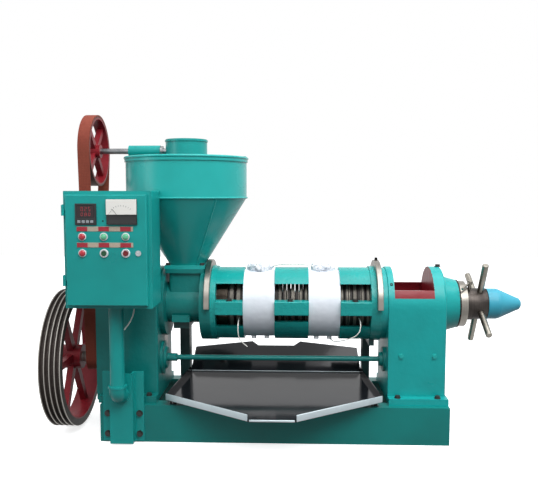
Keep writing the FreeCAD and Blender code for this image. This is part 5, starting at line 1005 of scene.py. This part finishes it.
# Temperature controller: a black frame round a smoked screen, with four grey rubber keys below
KEY_SPACING = 0.0145
controller = recessed_block("controller_housing", (-0.658, -0.3945, 0.816), (-0.586, DOOR_Y + 0.0005, 0.888),
                            frame_width=0.006, depth=0.0016, material=panel_black)
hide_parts("temperature_controller")
panel_block("controller_screen", (-0.650, -0.3938, 0.842), (-0.594, -0.3925, 0.880), screen_dark,
            edge=0.0004)
key = panel_block("controller_key_1", (-0.650, -0.3950, 0.823), (-0.640, -0.3925, 0.832), key_grey,
                  edge=0.0006)
for number in (2, 3, 4):
    along_row = Matrix.Translation((KEY_SPACING * (number - 1), 0, 0))
    copy_piece(key, f"controller_key_{number}", along_row, "door")

# Seven-segment digits: which of the bars top, upper left and right, middle, lower left and right,
# bottom are lit for each figure. A bar's place is how far it is across and up, and if it lies flat.
SEGMENTS = {"0": "1110111", "2": "1011101", "5": "1101011", "8": "1111111"}
BAR_PLACES = ((0, 1, 1), (-1, 0.5, 0), (1, 0.5, 0), (0, 0, 1), (-1, -0.5, 0), (1, -0.5, 0), (0, -1, 1))
BAR_WIDTH = 0.0014
BAR_FRONT, BAR_BACK = -0.39415, -0.3937
FIGURE_WIDTH = 0.0062
FIGURE_SPACING = 0.0125
FIRST_FIGURE_X = -0.6345


def lit_figure(name, figure, x, z, width, height):
    """One lit figure, its bars joined into one piece."""
    bars = []
    for lit, (across, up, lying) in zip(SEGMENTS[figure], BAR_PLACES):
        if lit == "1":
            long, thick = (width, BAR_WIDTH) if lying else (BAR_WIDTH, height / 2)
            low = (x + across * width / 2 - long / 2, BAR_FRONT, z + up * height / 2 - thick / 2)
            high = (low[0] + long, BAR_BACK, low[2] + thick)
            bars.append(panel_block(f"{name}_bar", low, high, glow_red, edge=0.0002, rounds=1))
    bpy.ops.object.select_all(action="DESELECT")
    for bar in bars:
        bar.select_set(True)
    bpy.context.view_layer.objects.active = bars[0]
    bpy.ops.object.join()
    bars[0].name = name


FIGURE_ROWS = (("025", 0.8695, 0.0125), ("080", 0.8520, 0.0095))
for row, (figures, middle_z, tall) in enumerate(FIGURE_ROWS):
    for place, figure in enumerate(figures):
        lit_figure(f"controller_figure_{row + 1}_{place + 1}", figure,
                   FIRST_FIGURE_X + FIGURE_SPACING * place, middle_z, FIGURE_WIDTH, tall)

# Current meter: a black body with a raised window over a white card, an arc of ticks and a needle
meter = recessed_block("ammeter_housing", (-0.551, -0.3985, 0.818), (-0.449, DOOR_Y + 0.0005, 0.902),
                       frame_width=0.0045, depth=0.0010, material=panel_black)
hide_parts("ammeter")
panel_block("ammeter_card", (-0.5505, -0.4040, 0.851), (-0.4495, -0.3970, 0.9015), dial_white,
            edge=0.0008)
PIVOT_X, PIVOT_Z = -0.500, 0.832
CARD_FRONT = -0.4041
ARC_RADIUS = 0.046
ARC_HALF = math.radians(42)
ARC_LINE = 0.0004
TICK_WIDTH, TICK_FROM, TICK_TO = 0.0008, 0.0465, 0.0515
TICK_STEP = 10
NEEDLE_WIDTH, NEEDLE_FROM, NEEDLE_TO = 0.001, 0.019, 0.0480
NEEDLE_AT_ZERO = -38
INK = 0.0003
pivot = Vector((PIVOT_X, CARD_FRONT, PIVOT_Z))


def about_pivot(degrees):
    """A turn about the needle's pivot, clockwise from the front."""
    turn = Matrix.Rotation(math.radians(degrees), 4, "Y")
    return Matrix.Translation(pivot) @ turn @ Matrix.Translation(-pivot)


arc_start = pivot + Vector((-math.sin(ARC_HALF), 0, math.cos(ARC_HALF))) * ARC_RADIUS
arc = start_piece("ammeter_arc", bpy.ops.mesh.primitive_circle_add, vertices=8, radius=ARC_LINE,
                  fill_type="NOTHING", location=arc_start)
bpy.ops.mesh.select_mode(type="EDGE")
bpy.ops.mesh.select_all(action="SELECT")
bpy.ops.mesh.spin(steps=40, angle=2 * ARC_HALF, center=pivot, axis=(0, 1, 0))
finish_piece(arc, print_black, "door")
tick = panel_block("ammeter_tick_0", (PIVOT_X - TICK_WIDTH / 2, CARD_FRONT - INK, PIVOT_Z + TICK_FROM),
                   (PIVOT_X + TICK_WIDTH / 2, CARD_FRONT + INK, PIVOT_Z + TICK_TO), print_black,
                   edge=0.0001)
for number in (-4, -3, -2, -1, 1, 2, 3, 4):
    copy_piece(tick, f"ammeter_tick_{number + 4}", about_pivot(number * TICK_STEP), "door")
needle = panel_block("ammeter_needle",
                     (PIVOT_X - NEEDLE_WIDTH / 2, CARD_FRONT - 3 * INK, PIVOT_Z + NEEDLE_FROM),
                     (PIVOT_X + NEEDLE_WIDTH / 2, CARD_FRONT - INK, PIVOT_Z + NEEDLE_TO), print_black,
                     edge=0.0001)
needle.data.transform(about_pivot(NEEDLE_AT_ZERO))

# Label strips: buff card behind three raised red plates
STRIP_ENDS = (-0.653, -0.464)
STRIP_ROWS = ((0.795, 0.811), (0.741, 0.757))
PLATE_HALF = 0.018
PLATE_INSET = 0.0005
for row, (low_z, high_z) in enumerate(STRIP_ROWS):
    panel_block(f"label_strip_{row + 1}", (STRIP_ENDS[0], DOOR_Y - 0.0012, low_z),
                (STRIP_ENDS[1], DOOR_Y + 0.0003, high_z), strip_card, edge=0.0004)
    for column, x in enumerate(LAMP_COLUMNS):
        panel_block(f"label_plate_{row + 1}_{column + 1}",
                    (x - PLATE_HALF, DOOR_Y - 0.0020, low_z + PLATE_INSET),
                    (x + PLATE_HALF, DOOR_Y - 0.0010, high_z - PLATE_INSET), plate_red,
                    edge=0.0003)

# Post, elbow and bracket
# The box stands on a steel pipe, screwed into a cast elbow on a folded hat bracket. All three
# carry the same enamel as the box.
dress(["box_post", "post_elbow", "post_bracket"], sheet_enamel)
